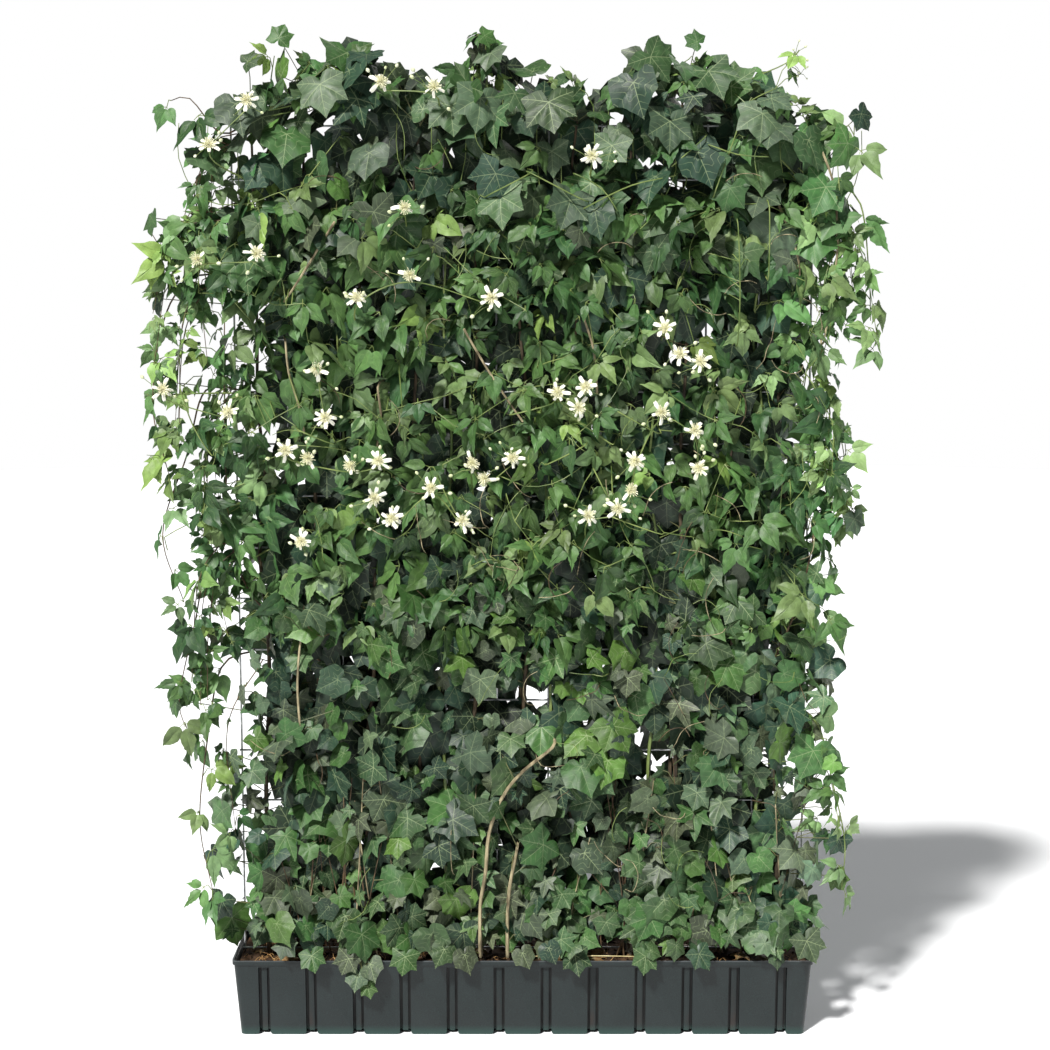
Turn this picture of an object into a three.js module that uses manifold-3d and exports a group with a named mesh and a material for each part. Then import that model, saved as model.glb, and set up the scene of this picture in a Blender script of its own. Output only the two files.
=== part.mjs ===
// Potted ivy hedge: a ribbed trough of soil, a wire panel that stands in it, and the climbers on the panel.
// Millimetres, +Z up. The origin is the middle of the trough's underside, and the front faces -Y.
import * as THREE from 'three';
import { mergeVertices } from 'three/addons/utils/BufferGeometryUtils.js';
import Module from 'manifold-3d';

const wasm = await Module();
wasm.setup();

// Driving dimensions
const gap = 0.4;
const pot = {
  width: 1200,
  depth: 200,
  height: 160,
  footWidth: 1168,
  footDepth: 180,
  corner: 12,
  lipHeight: 9,
  lipReach: 3,
  wall: 4,
  floor: 4,
  grooves: 12,
  groovePitch: 97,
  grooveWidth: 20,
  grooveDepth: 13,
};
const soilLevel = 147;
const soilLump = 4;
const holeDepth = 45;
const panel = {
  wire: 4,
  columns: 12,
  rows: 17,
  pitch: 106.4,
  lowest: 155,
  legs: [0, 4, 7, 11],
};
const stemRadius = 6;
const vineRadius = 4.3;
const shootRadius = 2.9;
const stalkRadius = 1.6;
const bladeThickness = 2.4;
const tries = 60;

// Colours, roughness and metalness
const finishes = {
  plastic: { color: 0x3d4848, roughness: 0.5, metalness: 0 },
  soil: { color: 0x3a2c20, roughness: 0.95, metalness: 0 },
  galvanised: { color: 0x9a9f9f, roughness: 0.45, metalness: 0.8 },
  ivy: { color: 0x3f5a38, roughness: 0.55, metalness: 0 },
  clematis: { color: 0x5d8246, roughness: 0.6, metalness: 0 },
  petals: { color: 0xf6f5e6, roughness: 0.7, metalness: 0 },
};

const panelHalf = (panel.columns - 1) * panel.pitch / 2;
const panelTop = panel.lowest + (panel.rows - 1) * panel.pitch;

// Every random draw comes from this one sequence
let seed = 20417;
function draw(low, high) {
  seed = seed * 48271 % 2147483647;
  return low + (high - low) * seed / 2147483647;
}

function solidFrom(vertProperties, triVerts) {
  return new wasm.Manifold(new wasm.Mesh({ numProp: 3, vertProperties, triVerts }));
}

function solidOf(geometry) {
  const bare = geometry.clone();
  bare.deleteAttribute('normal');
  bare.deleteAttribute('uv');
  const merged = mergeVertices(bare, 1e-4);
  return solidFrom(merged.attributes.position.array, new Uint32Array(merged.index.array));
}

const part = new THREE.Group();

function addPiece(name, solid, finish) {
  const mesh = solid.simplify(0.02).getMesh();
  const geometry = new THREE.BufferGeometry();
  geometry.setAttribute('position', new THREE.BufferAttribute(mesh.vertProperties, 3));
  geometry.setIndex(new THREE.BufferAttribute(mesh.triVerts, 1));
  geometry.computeVertexNormals();
  const piece = new THREE.Mesh(geometry, new THREE.MeshStandardMaterial(finishes[finish]));
  piece.name = name;
  part.add(piece);
}

// A closed body through rings of equally many points, one ring above the other
function loft(rings) {
  const count = rings[0].length;
  const points = rings.flat(2);
  const faces = [];
  for (let ring = 0; ring + 1 < rings.length; ring += 1) {
    for (let step = 0; step < count; step += 1) {
      const here = ring * count + step;
      const next = ring * count + (step + 1) % count;
      faces.push(here, next, next + count, here, next + count, here + count);
    }
  }
  const last = (rings.length - 1) * count;
  for (let step = 1; step + 1 < count; step += 1) {
    faces.push(0, step + 1, step, last, last + step, last + step + 1);
  }
  return solidFrom(new Float32Array(points), new Uint32Array(faces));
}

function roundedRing(width, depth, radius, z) {
  const arcSteps = 2;
  const ring = [];
  for (let corner = 0; corner < 4; corner += 1) {
    const x = (corner === 0 || corner === 3 ? 1 : -1) * (width / 2 - radius);
    const y = (corner < 2 ? 1 : -1) * (depth / 2 - radius);
    for (let step = 0; step <= arcSteps; step += 1) {
      const angle = (corner + step / arcSteps) * Math.PI / 2;
      ring.push([x + radius * Math.cos(angle), y + radius * Math.sin(angle), z]);
    }
  }
  return ring;
}

// The trough narrows towards its foot: this gives its outer size at a height
function potSize(z) {
  const share = z / pot.height;
  return {
    width: pot.footWidth + (pot.width - 2 * pot.lipReach - pot.footWidth) * share,
    depth: pot.footDepth + (pot.depth - 2 * pot.lipReach - pot.footDepth) * share,
  };
}

// A block with the trough's own slope, set in from its outer faces
function potBlock(inset, low, high) {
  const rings = [low, high].map((z) => {
    const size = potSize(z);
    return roundedRing(size.width - 2 * inset, size.depth - 2 * inset, Math.max(pot.corner - inset, 2), z);
  });
  return loft(rings);
}

// Upright grooves in the front and back walls, open at the foot
function grooveBlocks(grow, low) {
  const blocks = [];
  const top = pot.height - pot.lipHeight - 4 + grow;
  const half = pot.grooveWidth / 2 + grow;
  for (let column = 0; column < pot.grooves; column += 1) {
    const x = (column - (pot.grooves - 1) / 2) * pot.groovePitch;
    for (const side of [-1, 1]) {
      const rings = [low, top].map((z) => {
        const face = potSize(z).depth / 2;
        const deep = side * (face - pot.grooveDepth - grow);
        const out = side * (face + 20);
        const near = Math.min(deep, out);
        const far = Math.max(deep, out);
        const narrow = side < 0 ? [half, half - 3] : [half - 3, half];
        return [
          [x - narrow[0], near, z],
          [x + narrow[0], near, z],
          [x + narrow[1], far, z],
          [x - narrow[1], far, z],
        ];
      });
      blocks.push(loft(rings));
    }
  }
  return wasm.Manifold.union(blocks);
}

function makeTrough() {
  const lipLow = pot.height - pot.lipHeight;
  const lip = loft([lipLow, pot.height].map((z) => roundedRing(pot.width, pot.depth, pot.corner, z)));
  const grooved = potBlock(0, 0, lipLow).subtract(grooveBlocks(0, -1));
  const hollow = potBlock(pot.wall, pot.floor, pot.height + 1).subtract(grooveBlocks(pot.wall, -1));
  return grooved.add(lip).subtract(hollow);
}

// A straight wire of three sides, with one ridge turned towards the wires that it meets
function wire(length, radius, ridge) {
  const section = new THREE.Shape();
  for (let side = 0; side < 3; side += 1) {
    const angle = ridge + side * Math.PI * 2 / 3;
    const move = side === 0 ? 'moveTo' : 'lineTo';
    section[move](radius * Math.cos(angle), radius * Math.sin(angle));
  }
  return new THREE.ExtrudeGeometry(section, { depth: length, steps: 1, bevelEnabled: false });
}

// The cross wires lie in front of the uprights, ridge to ridge. The wires of the panel's rim are welded
// where they cross the others. Inside it they pass a hair clear of each other, held at their ends.
const wireRadius = panel.wire * 0.62;
const wireEnd = 4;

function ridgePlace(index, count) {
  const weld = 1;
  const rim = index === 0 || index === count - 1;
  return rim ? weld : -gap / 2;
}

function wireHeight(row) {
  return panel.lowest + row * panel.pitch;
}

function makePanel() {
  const wires = [];
  for (let column = 0; column < panel.columns; column += 1) {
    const low = panel.legs.includes(column) ? soilLevel - holeDepth : panel.lowest - wireEnd;
    const upright = wire(panelTop + wireEnd - low, wireRadius, -Math.PI / 2);
    const middle = wireRadius - ridgePlace(column, panel.columns);
    upright.translate(column * panel.pitch - panelHalf, middle, low);
    wires.push(solidOf(upright));
  }
  for (let row = 0; row < panel.rows; row += 1) {
    const cross = wire(2 * (panelHalf + wireEnd), wireRadius, Math.PI / 2);
    cross.rotateY(Math.PI / 2);
    cross.translate(-panelHalf - wireEnd, ridgePlace(row, panel.rows) - wireRadius, wireHeight(row));
    wires.push(solidOf(cross));
  }
  return wasm.Manifold.union(wires);
}

// A stem is a three-sided tube along a smooth curve. Its middle line is kept, so that stalks can meet it.
function makeStem(points, radius, steps) {
  const curve = new THREE.CatmullRomCurve3(points.map((point) => new THREE.Vector3(...point)));
  const section = new THREE.Shape();
  for (let side = 0; side < 3; side += 1) {
    const angle = side * Math.PI * 2 / 3;
    const move = side === 0 ? 'moveTo' : 'lineTo';
    section[move](radius * Math.cos(angle), radius * Math.sin(angle));
  }
  const tube = new THREE.ExtrudeGeometry(section, { steps, bevelEnabled: false, extrudePath: curve });
  return { line: curve.getSpacedPoints(steps), solid: solidOf(tube) };
}

// The point of a stem's middle line that lies nearest to a point
function nearestOn(line, point) {
  let best = null;
  for (let step = 0; step + 1 < line.length; step += 1) {
    const segment = new THREE.Line3(line[step], line[step + 1]);
    const found = segment.closestPointToPoint(point, true, new THREE.Vector3());
    if (!best || found.distanceTo(point) < best.distanceTo(point)) {
      best = found;
    }
  }
  return best;
}

// Cut outlines of the blades, as [across, along, forward] in shares of the blade's size, from the point
// where the stalk meets it. Each list is the right half, from the notch at the stalk to the tip.
const outlines = {
  ivyFive: [
    [0, -0.08, 0],
    [0.34, -0.27, -0.05],
    [0.37, 0.0, 0.02],
    [0.57, 0.27, -0.06],
    [0.26, 0.4, 0.02],
    [0, 0.8, -0.08],
  ],
  ivyThree: [
    [0, -0.08, 0],
    [0.36, -0.24, -0.03],
    [0.53, 0.2, -0.07],
    [0.26, 0.38, 0.02],
    [0, 0.76, -0.08],
  ],
  threeLeaflets: [
    [0, -0.07, 0],
    [0.34, -0.24, -0.04],
    [0.7, 0.16, -0.08],
    [0.15, 0.2, 0.03],
    [0.31, 0.5, 0],
    [0, 1, -0.09],
  ],
  leaflet: [
    [0, -0.05, 0],
    [0.29, 0.14, 0],
    [0.28, 0.46, 0.01],
    [0, 1, -0.1],
  ],
};

function wholeOutline(half) {
  const left = half.slice(1, -1).reverse().map(([across, along, forward]) => [-across, along, forward]);
  return [...half, ...left];
}

// Blooms are stars of six narrow petals
function bloomOutline() {
  const petals = 6;
  const outline = [];
  for (let step = 0; step < 2 * petals; step += 1) {
    const reach = step % 2 ? 0.5 : 0.15;
    const angle = -Math.PI / 2 + step * Math.PI / petals;
    outline.push([reach * Math.cos(angle), reach * Math.sin(angle), step % 2 ? -0.04 : 0]);
  }
  return outline;
}

// A blade is a fan of facets on its front and the same fan on its back. Its stalk is drawn out of the
// back and ends inside the stem that carries it.
function makeBlade(outline, place, root) {
  const { centre, along, normal, size, crown } = place;
  const across = new THREE.Vector3().crossVectors(along, normal);
  const at = (u, v, w) => centre.clone()
    .addScaledVector(across, u)
    .addScaledVector(along, v)
    .addScaledVector(normal, w);
  const points = outline.map(([u, v, w]) => at(u * size, v * size, w * size));
  const count = points.length;
  const front = count;
  const ring = count + 1;
  const heel = count + 4;
  points.push(at(0, 0, crown));
  const ringAngles = [0, 1, 2].map((side) => -Math.PI / 2 + side * Math.PI * 2 / 3);
  const toRoot = root.clone().sub(centre);
  const topReach = stalkRadius * 1.25;
  const footReach = stalkRadius * 0.8;
  for (const angle of ringAngles) {
    points.push(at(topReach * Math.cos(angle), topReach * Math.sin(angle), crown - bladeThickness));
  }
  for (const angle of ringAngles) {
    points.push(at(footReach * Math.cos(angle), footReach * Math.sin(angle), 0).add(toRoot));
  }
  const nearestSide = (step) => {
    const [u0, v0] = outline[step];
    const [u1, v1] = outline[(step + 1) % count];
    const angle = Math.atan2((v0 + v1) / 2, (u0 + u1) / 2);
    const nearness = ringAngles.map((other) => Math.cos(angle - other));
    return nearness.indexOf(Math.max(...nearness));
  };
  const faces = [];
  let side = nearestSide(count - 1);
  for (let step = 0; step < count; step += 1) {
    const next = (step + 1) % count;
    while (side !== nearestSide(step)) {
      const turned = (side + 1) % 3;
      faces.push(ring + side, ring + turned, step);
      side = turned;
    }
    faces.push(front, step, next, ring + side, next, step);
  }
  for (let edge = 0; edge < 3; edge += 1) {
    const next = (edge + 1) % 3;
    faces.push(ring + edge, heel + edge, heel + next, ring + edge, heel + next, ring + next);
  }
  faces.push(heel, heel + 2, heel + 1);
  const vertices = new Float32Array(points.flatMap((point) => point.toArray()));
  return solidFrom(vertices, new Uint32Array(faces));
}

// Bodies already placed, each with its box, for keeping new leaves clear of them
const placed = [];

function remember(solid) {
  placed.push({ solid, box: solid.boundingBox() });
}

function boxesMeet(one, other) {
  const margin = 1;
  return [0, 1, 2].every((axis) => one.min[axis] - margin < other.max[axis]
    && other.min[axis] - margin < one.max[axis]);
}

// True when a body touches no other, apart from what carries it, also after a small move either way
function standsClear(solid, normal, carrier) {
  const box = solid.boundingBox();
  const near = placed.filter((body) => body.solid !== carrier && boxesMeet(box, body.box));
  return [0, 0.8, -0.8].every((move) => {
    const moved = solid.translate(normal.clone().multiplyScalar(move).toArray());
    return near.every((body) => moved.intersect(body.solid).isEmpty());
  });
}

// Tries a few places for one leaf and keeps the first that stands clear
function growLeaf(stem, leaves, want) {
  for (let attempt = 0; attempt < tries; attempt += 1) {
    const tilt = THREE.MathUtils.degToRad(want.tilt + draw(-7, 7));
    const yaw = THREE.MathUtils.degToRad(draw(-want.yaw, want.yaw));
    const roll = THREE.MathUtils.degToRad(want.lean + draw(-want.roll, want.roll));
    const normal = new THREE.Vector3(0, want.side * Math.cos(tilt), Math.sin(tilt));
    normal.applyAxisAngle(new THREE.Vector3(0, 0, 1), yaw);
    const down = new THREE.Vector3(0, 0, -1);
    const along = down.addScaledVector(normal, normal.z).normalize().applyAxisAngle(normal, roll);
    const centre = new THREE.Vector3(
      want.x + draw(-want.stray, want.stray),
      want.side * (want.reach + draw(-6, 8)),
      want.z + draw(-want.stray, want.stray),
    );
    const shrink = 1 - 0.25 * attempt / tries;
    const size = want.size * shrink * draw(0.9, 1.08);
    const hold = centre.clone();
    hold.z -= want.drop;
    const place = { centre, along, normal, size, crown: size * 0.03 };
    const blade = makeBlade(want.outline, place, nearestOn(stem.line, hold));
    if (blade.volume() > 0 && standsClear(blade, normal, stem.solid)) {
      leaves.push(blade);
      remember(blade);
      return;
    }
  }
}

const trough = makeTrough();
const wirePanel = makePanel();
remember(trough);
remember(potBlock(pot.wall, pot.floor, soilLevel + 2));
remember(wirePanel);

// A plain square hole in the soil for what stands in it, a hair wider than its foot
const holes = [];

function digHole(x, y, radius) {
  const half = radius + gap;
  const rings = [soilLevel - holeDepth - gap, soilLevel + 3 * soilLump].map((z) => [
    [x - half, y - half, z],
    [x + half, y - half, z],
    [x + half, y + half, z],
    [x - half, y + half, z],
  ]);
  holes.push(loft(rings));
}

// A climbing stem goes straight up out of its hole, then wanders a little up the panel
function climbingStem(x, y, top, radius) {
  const foot = soilLevel - holeDepth;
  const spacing = 150;
  const away = Math.sign(y);
  const points = [[x, y, foot], [x, y, foot + spacing], [x, y, foot + 1.5 * spacing]];
  for (let z = foot + 3 * spacing; z < top - spacing / 2; z += spacing) {
    points.push([x + draw(-14, 14), y + away * draw(-2, 5), z]);
  }
  points.push([x + draw(-10, 10), y + away * 4, top]);
  digHole(x, y, radius);
  const stem = makeStem(points, radius, 8);
  remember(stem.solid);
  return stem;
}

// How far the leaves stand out from the panel: fuller at the top, with slow swells across the face
function leafReach(x, z) {
  const fuller = z > 1500 ? 10 : 0;
  return 54 + fuller + 7 * Math.sin(x / 170 + z / 310) + 5 * Math.sin(z / 140 - x / 260);
}

// The ragged top edge of the hedge, one height for each front ivy stem from left to right
const topHeights = [1900, 1990, 1985, 1915, 1945, 1965, 1925, 1945, 1965, 1920, 1885];
// Between these heights clematis leaves cover the front, with ivy above and below
const clematisLow = 930;
const clematisHigh = 1600;
const ivyPlants = [];
const frontColumns = topHeights.length;
for (let column = 0; column < frontColumns; column += 1) {
  const x = (column - (frontColumns - 1) / 2) * panel.pitch;
  const stem = climbingStem(x, -17, topHeights[column] - 60, stemRadius);
  ivyPlants.push({ name: `ivy_front_${column + 1}`, column, x, side: -1, stem, leaves: [] });
}

const backColumns = 7;
const backPitch = 158;
for (let column = 0; column < backColumns; column += 1) {
  const x = (column - (backColumns - 1) / 2) * backPitch;
  const stem = climbingStem(x, 18, 1830 + draw(-40, 60), stemRadius);
  ivyPlants.push({ name: `ivy_back_${column + 1}`, column, x, side: 1, stem, leaves: [] });
}

const clematisPlants = [];
for (let column = 0; column < 5; column += 1) {
  const x = ((column - 2) * 2 + 0.5) * panel.pitch;
  const stem = climbingStem(x, -15, clematisHigh + 20, vineRadius);
  clematisPlants.push({ name: `clematis_vine_${column + 1}`, x, stem, leaves: [] });
}

// Flower sprays: each vine leaves a cross wire, comes out through the leaves and runs from bloom to bloom.
// Places are [x, z] on the hedge's face.
const sprays = [
  [[-610, 1810], [-535, 1895]],
  [[-635, 1590], [-520, 1600]],
  [[-170, 1920], [-275, 1930]],
  [[-230, 1690]],
  [[-325, 1515], [-220, 1560], [-60, 1515]],
  [[135, 1790]],
  [[-710, 1335], [-580, 1290]],
  [[-405, 1375], [-390, 1280]],
  [[-470, 1215], [-425, 1200], [-340, 1185], [-285, 1195]],
  [[-440, 1035]],
  [[-295, 1120], [-260, 1080], [-180, 1140], [-120, 1075]],
  [[-100, 1190], [-75, 1160], [-20, 1200]],
  [[130, 1085], [190, 1100], [215, 1135]],
  [[70, 1330], [110, 1300], [125, 1340]],
  [[280, 1455], [310, 1405], [350, 1390]],
  [[225, 1195], [275, 1290], [340, 1255], [350, 1180]],
];
const sprayReach = 112;
const sprayRadius = 3;
const bloomWidth = 50;
const inwards = new THREE.Vector3(0, 1, 0);

// The first points of a vine that holds on to the panel: it starts square on the flat front of the cross
// wire nearest to a height, a hair clear of it, and comes straight out to a reach
function holdOn(x, z, reach) {
  const row = THREE.MathUtils.clamp(Math.round((z - panel.lowest) / panel.pitch), 0, panel.rows - 1);
  const face = ridgePlace(row, panel.rows) - 1.5 * wireRadius;
  const limit = panelHalf - draw(10, 90);
  const along = THREE.MathUtils.clamp(x, -limit, limit);
  return [[along, face - gap, wireHeight(row)], [along, -reach, wireHeight(row)]];
}

function makeSpray(blooms) {
  const [x, z] = blooms[0];
  const points = holdOn(x + draw(-50, 50), z - 40, 36);
  for (const [bloomX, bloomZ] of blooms) {
    points.push([bloomX, draw(-4, 4) - sprayReach, bloomZ - 14]);
  }
  if (blooms.length === 1) {
    points.push([x + 12, -sprayReach - 6, z + 10]);
  }
  const stem = makeStem(points, sprayRadius, points.length + 2);
  const heads = blooms.map(([bloomX, bloomZ]) => {
    const normal = new THREE.Vector3(draw(-0.35, 0.35), -1, draw(0, 0.5)).normalize();
    const along = new THREE.Vector3(draw(-1, 1), 0, -1);
    along.addScaledVector(normal, -along.dot(normal)).normalize();
    const centre = new THREE.Vector3(bloomX, -sprayReach - 18, bloomZ);
    const place = { centre, along, normal, size: bloomWidth, crown: 4 };
    return makeBlade(bloomOutline(), place, nearestOn(stem.line, centre));
  });
  return wasm.Manifold.union([stem.solid, ...heads]);
}

const flowerSprays = sprays.map((blooms, index) => {
  let solid = makeSpray(blooms);
  for (let attempt = 0; attempt < tries && !standsClear(solid, inwards, wirePanel); attempt += 1) {
    solid = makeSpray(blooms);
  }
  remember(solid);
  return { name: `flower_spray_${index + 1}`, solid };
});

// Loose shoots: each leaves a cross wire of the panel and runs through these [x, y, z] points
const shoots = [
  { name: 'shoot_left_1', points: [[-600, -40, 1840], [-655, -60, 1905], [-690, -70, 1900]] },
  { name: 'shoot_left_2', points: [[-640, -50, 1690], [-700, -60, 1600], [-735, -60, 1640]] },
  {
    name: 'shoot_left_3',
    points: [[-650, -40, 1560], [-715, -50, 1480], [-745, -45, 1300], [-715, -50, 1160]],
  },
  {
    name: 'shoot_left_4',
    points: [[-640, -30, 1330], [-680, -35, 1200], [-730, -50, 1040], [-690, -50, 900]],
  },
  { name: 'shoot_left_5', points: [[-630, -50, 1010], [-665, -70, 860], [-700, -70, 700], [-680, -60, 620]] },
  { name: 'shoot_left_6', points: [[-620, -30, 760], [-650, -50, 600], [-665, -60, 440], [-640, -70, 300]] },
  { name: 'shoot_right_1', points: [[600, -40, 1770], [650, -50, 1800], [655, -60, 1860]] },
  { name: 'shoot_right_2', points: [[620, -40, 1740], [670, -60, 1700], [690, -60, 1560], [695, -60, 1470]] },
  { name: 'shoot_right_3', points: [[620, -30, 1300], [610, -50, 1180], [670, -50, 1090]] },
  { name: 'shoot_right_4', points: [[610, -30, 640], [640, -50, 520], [665, -60, 400], [660, -60, 300]] },
  { name: 'shoot_top_1', points: [[-500, -30, 1930], [-490, -40, 1990]] },
  { name: 'shoot_top_2', points: [[-70, -20, 1950], [-75, -30, 2040]] },
  { name: 'shoot_top_3', points: [[250, -20, 1930], [330, -30, 1985]] },
  { name: 'shoot_top_4', points: [[430, -20, 1930], [520, -40, 1975], [545, -50, 2000]] },
];

function makeShoot(points) {
  const [x, , z] = points[0];
  const route = [...holdOn(x + draw(-25, 25), z, 20), ...points];
  return makeStem(route, shootRadius, 2 * points.length + 1);
}

const looseShoots = shoots.map(({ name, points }) => {
  let stem = makeShoot(points);
  for (let attempt = 0; attempt < tries && !standsClear(stem.solid, inwards, wirePanel); attempt += 1) {
    stem = makeShoot(points);
  }
  remember(stem.solid);
  return { name, stem, leaves: [] };
});

const ivyFive = wholeOutline(outlines.ivyFive);
const ivyThree = wholeOutline(outlines.ivyThree);
const threeLeaflets = wholeOutline(outlines.threeLeaflets);
const leaflet = wholeOutline(outlines.leaflet);

// Leaves along the loose shoots, at true size, left and right in turn
for (const shoot of looseShoots) {
  const line = shoot.stem.line;
  const spacing = 78;
  let walked = 0;
  let turn = 1;
  for (let step = 1; step < line.length; step += 1) {
    walked += line[step].distanceTo(line[step - 1]);
    if (walked > spacing || step === line.length - 1) {
      walked = 0;
      turn = -turn;
      const { x, y, z } = line[step];
      growLeaf(shoot.stem, shoot.leaves, {
        x: x + turn * 16,
        z: z + 6,
        side: -1,
        reach: 22 - y,
        drop: 8,
        stray: 5,
        size: shoot.name.includes('top') ? 62 : 78,
        tilt: 22,
        yaw: 25,
        lean: turn * -28,
        roll: 25,
        outline: leaflet,
      });
    }
  }
}

// Ivy leaves that hang over the trough's rim, as [x, z] of the point where the stalk meets the blade
const rimLeaves = [[-405, 196], [-305, 186], [-160, 205], [95, 190], [262, 194], [-480, 215], [470, 210]];
for (const [x, z] of rimLeaves) {
  const column = Math.round(x / panel.pitch) + (frontColumns - 1) / 2;
  const near = ivyPlants[column];
  growLeaf(near.stem, near.leaves, {
    x,
    z,
    side: -1,
    reach: 116,
    drop: 0,
    stray: 3,
    size: 96,
    tilt: 6,
    yaw: 8,
    lean: 0,
    roll: 25,
    outline: ivyFive,
  });
}

// Ivy leaves on the front: whole rows low down and along the top, and the two edge stems in between
const frontRow = 121;
const firstRow = 250;
for (let z = firstRow; z < 2000; z += frontRow) {
  for (const plant of ivyPlants.filter((each) => each.side < 0)) {
    const height = z + (plant.column % 2) * frontRow / 2;
    const amongClematis = height > clematisLow && height < clematisHigh;
    const edge = plant.column === 0 || plant.column === frontColumns - 1;
    if (height > topHeights[plant.column] || (amongClematis && !edge)) {
      continue;
    }
    growLeaf(plant.stem, plant.leaves, {
      x: plant.x + (edge ? Math.sign(plant.x) * 24 : draw(-20, 20)),
      z: height,
      side: -1,
      reach: leafReach(plant.x, height),
      drop: 26,
      stray: 9,
      size: height > clematisHigh ? 154 : 134,
      tilt: 16,
      yaw: 16,
      lean: 0,
      roll: 34,
      outline: height > clematisHigh && draw(0, 1) < 0.5 ? ivyThree : ivyFive,
    });
  }
}

// Clematis leaves over the middle, in pairs to the left and right of each vine
const clematisRow = 132;
for (let z = clematisLow + 40; z < clematisHigh + 60; z += clematisRow) {
  for (const plant of clematisPlants) {
    for (const turn of [-1, 1]) {
      const height = z + (turn > 0 ? clematisRow / 2 : 0);
      const x = plant.x + turn * panel.pitch * 0.48;
      growLeaf(plant.stem, plant.leaves, {
        x,
        z: height,
        side: -1,
        reach: leafReach(x, height),
        drop: 30,
        stray: 9,
        size: 128,
        tilt: 16,
        yaw: 14,
        lean: 0,
        roll: 30,
        outline: threeLeaflets,
      });
    }
  }
}

// Ivy leaves behind the panel, wider apart
const backRow = 148;
for (let z = firstRow + 10; z < 1950; z += backRow) {
  for (const plant of ivyPlants.filter((each) => each.side > 0)) {
    const height = z + (plant.column % 2) * backRow / 2;
    const top = plant.stem.line.at(-1).z + 60;
    if (height > top) {
      continue;
    }
    growLeaf(plant.stem, plant.leaves, {
      x: plant.x,
      z: height,
      side: 1,
      reach: leafReach(-plant.x, height),
      drop: 28,
      stray: 14,
      size: 168,
      tilt: 15,
      yaw: 16,
      lean: 0,
      roll: 36,
      outline: ivyThree,
    });
  }
}

// The soil fills the trough to just below its rim, with a lumpy top and plain holes for stems and legs
function makeSoil() {
  const block = new THREE.BoxGeometry(pot.width, pot.depth, soilLevel, 8, 2, 1);
  block.translate(0, 0, soilLevel / 2);
  const position = block.attributes.position;
  for (let index = 0; index < position.count; index += 1) {
    if (position.getZ(index) > soilLevel / 2) {
      const x = position.getX(index);
      const y = position.getY(index);
      const lump = Math.sin(x / 47) * Math.cos(y / 31) + Math.sin(x / 113 + y / 40);
      position.setZ(index, soilLevel + soilLump * (lump / 2 - 0.5));
    }
  }
  const room = potBlock(pot.wall + gap, pot.floor + gap, pot.height)
    .subtract(grooveBlocks(pot.wall + gap, -1));
  for (const column of panel.legs) {
    digHole(column * panel.pitch - panelHalf, wireRadius, 1.6 * wireRadius);
  }
  return solidOf(block).intersect(room).subtract(wasm.Manifold.union(holes));
}

addPiece('trough', trough, 'plastic');
addPiece('soil', makeSoil(), 'soil');
addPiece('wire_panel', wirePanel, 'galvanised');
for (const { name, stem, leaves } of ivyPlants) {
  addPiece(name, wasm.Manifold.union([stem.solid, ...leaves]), 'ivy');
}
for (const { name, stem, leaves } of [...clematisPlants, ...looseShoots]) {
  addPiece(name, wasm.Manifold.union([stem.solid, ...leaves]), 'clematis');
}
for (const { name, solid } of flowerSprays) {
  addPiece(name, solid, 'petals');
}

export default part;
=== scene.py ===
import math

import bpy
import numpy as np
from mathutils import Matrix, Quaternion, Vector, noise


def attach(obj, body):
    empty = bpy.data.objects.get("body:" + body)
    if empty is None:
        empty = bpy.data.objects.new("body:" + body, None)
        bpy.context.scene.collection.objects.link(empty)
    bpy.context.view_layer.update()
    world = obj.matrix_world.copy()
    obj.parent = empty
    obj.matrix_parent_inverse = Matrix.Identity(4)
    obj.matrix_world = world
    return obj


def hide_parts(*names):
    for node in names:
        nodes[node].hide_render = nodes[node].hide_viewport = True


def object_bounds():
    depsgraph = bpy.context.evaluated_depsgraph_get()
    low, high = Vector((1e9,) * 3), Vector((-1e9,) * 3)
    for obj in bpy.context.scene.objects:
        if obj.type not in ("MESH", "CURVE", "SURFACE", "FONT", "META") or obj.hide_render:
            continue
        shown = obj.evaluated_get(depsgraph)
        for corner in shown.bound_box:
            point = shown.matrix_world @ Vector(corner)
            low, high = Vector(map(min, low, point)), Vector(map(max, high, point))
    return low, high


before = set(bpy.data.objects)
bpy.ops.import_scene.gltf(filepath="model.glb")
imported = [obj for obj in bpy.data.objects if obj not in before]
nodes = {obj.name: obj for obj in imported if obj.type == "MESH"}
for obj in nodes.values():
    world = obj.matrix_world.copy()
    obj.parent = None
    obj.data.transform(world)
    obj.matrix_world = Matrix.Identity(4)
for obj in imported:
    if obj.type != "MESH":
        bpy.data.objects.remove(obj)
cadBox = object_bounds()
print("frame loaded:", len(nodes), "nodes")

# one sequence for every random draw, the same as in the part's source
seed = 20417
multiplier, modulus = 48271, 2147483647


def draw(low, high):
    global seed
    seed = seed * multiplier % modulus
    return low + (high - low) * seed / modulus


def drawEach(spans):
    return tuple(draw(*span) for span in spans)


def pick(weights):
    mark = draw(0, sum(weights.values()))
    for name, weight in weights.items():
        mark -= weight
        if mark <= 0:
            break
    return name


def linear(*colour):
    return tuple(value / 255 / 12.92 if value < 10 else ((value / 255 + 0.055) / 1.055) ** 2.4
                 for value in colour)


def clamp(value, low, high):
    return min(max(value, low), high)


# tools for nodes, objects and selections


def addNode(tree, kind, inputs=None, **settings):
    node = tree.nodes.new("ShaderNode" + kind)
    for name, value in settings.items():
        setattr(node, name, value)
    for socket, value in (inputs or {}).items():
        if isinstance(value, bpy.types.NodeSocket):
            tree.links.new(value, node.inputs[socket])
        else:
            node.inputs[socket].default_value = value
    return node


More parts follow.
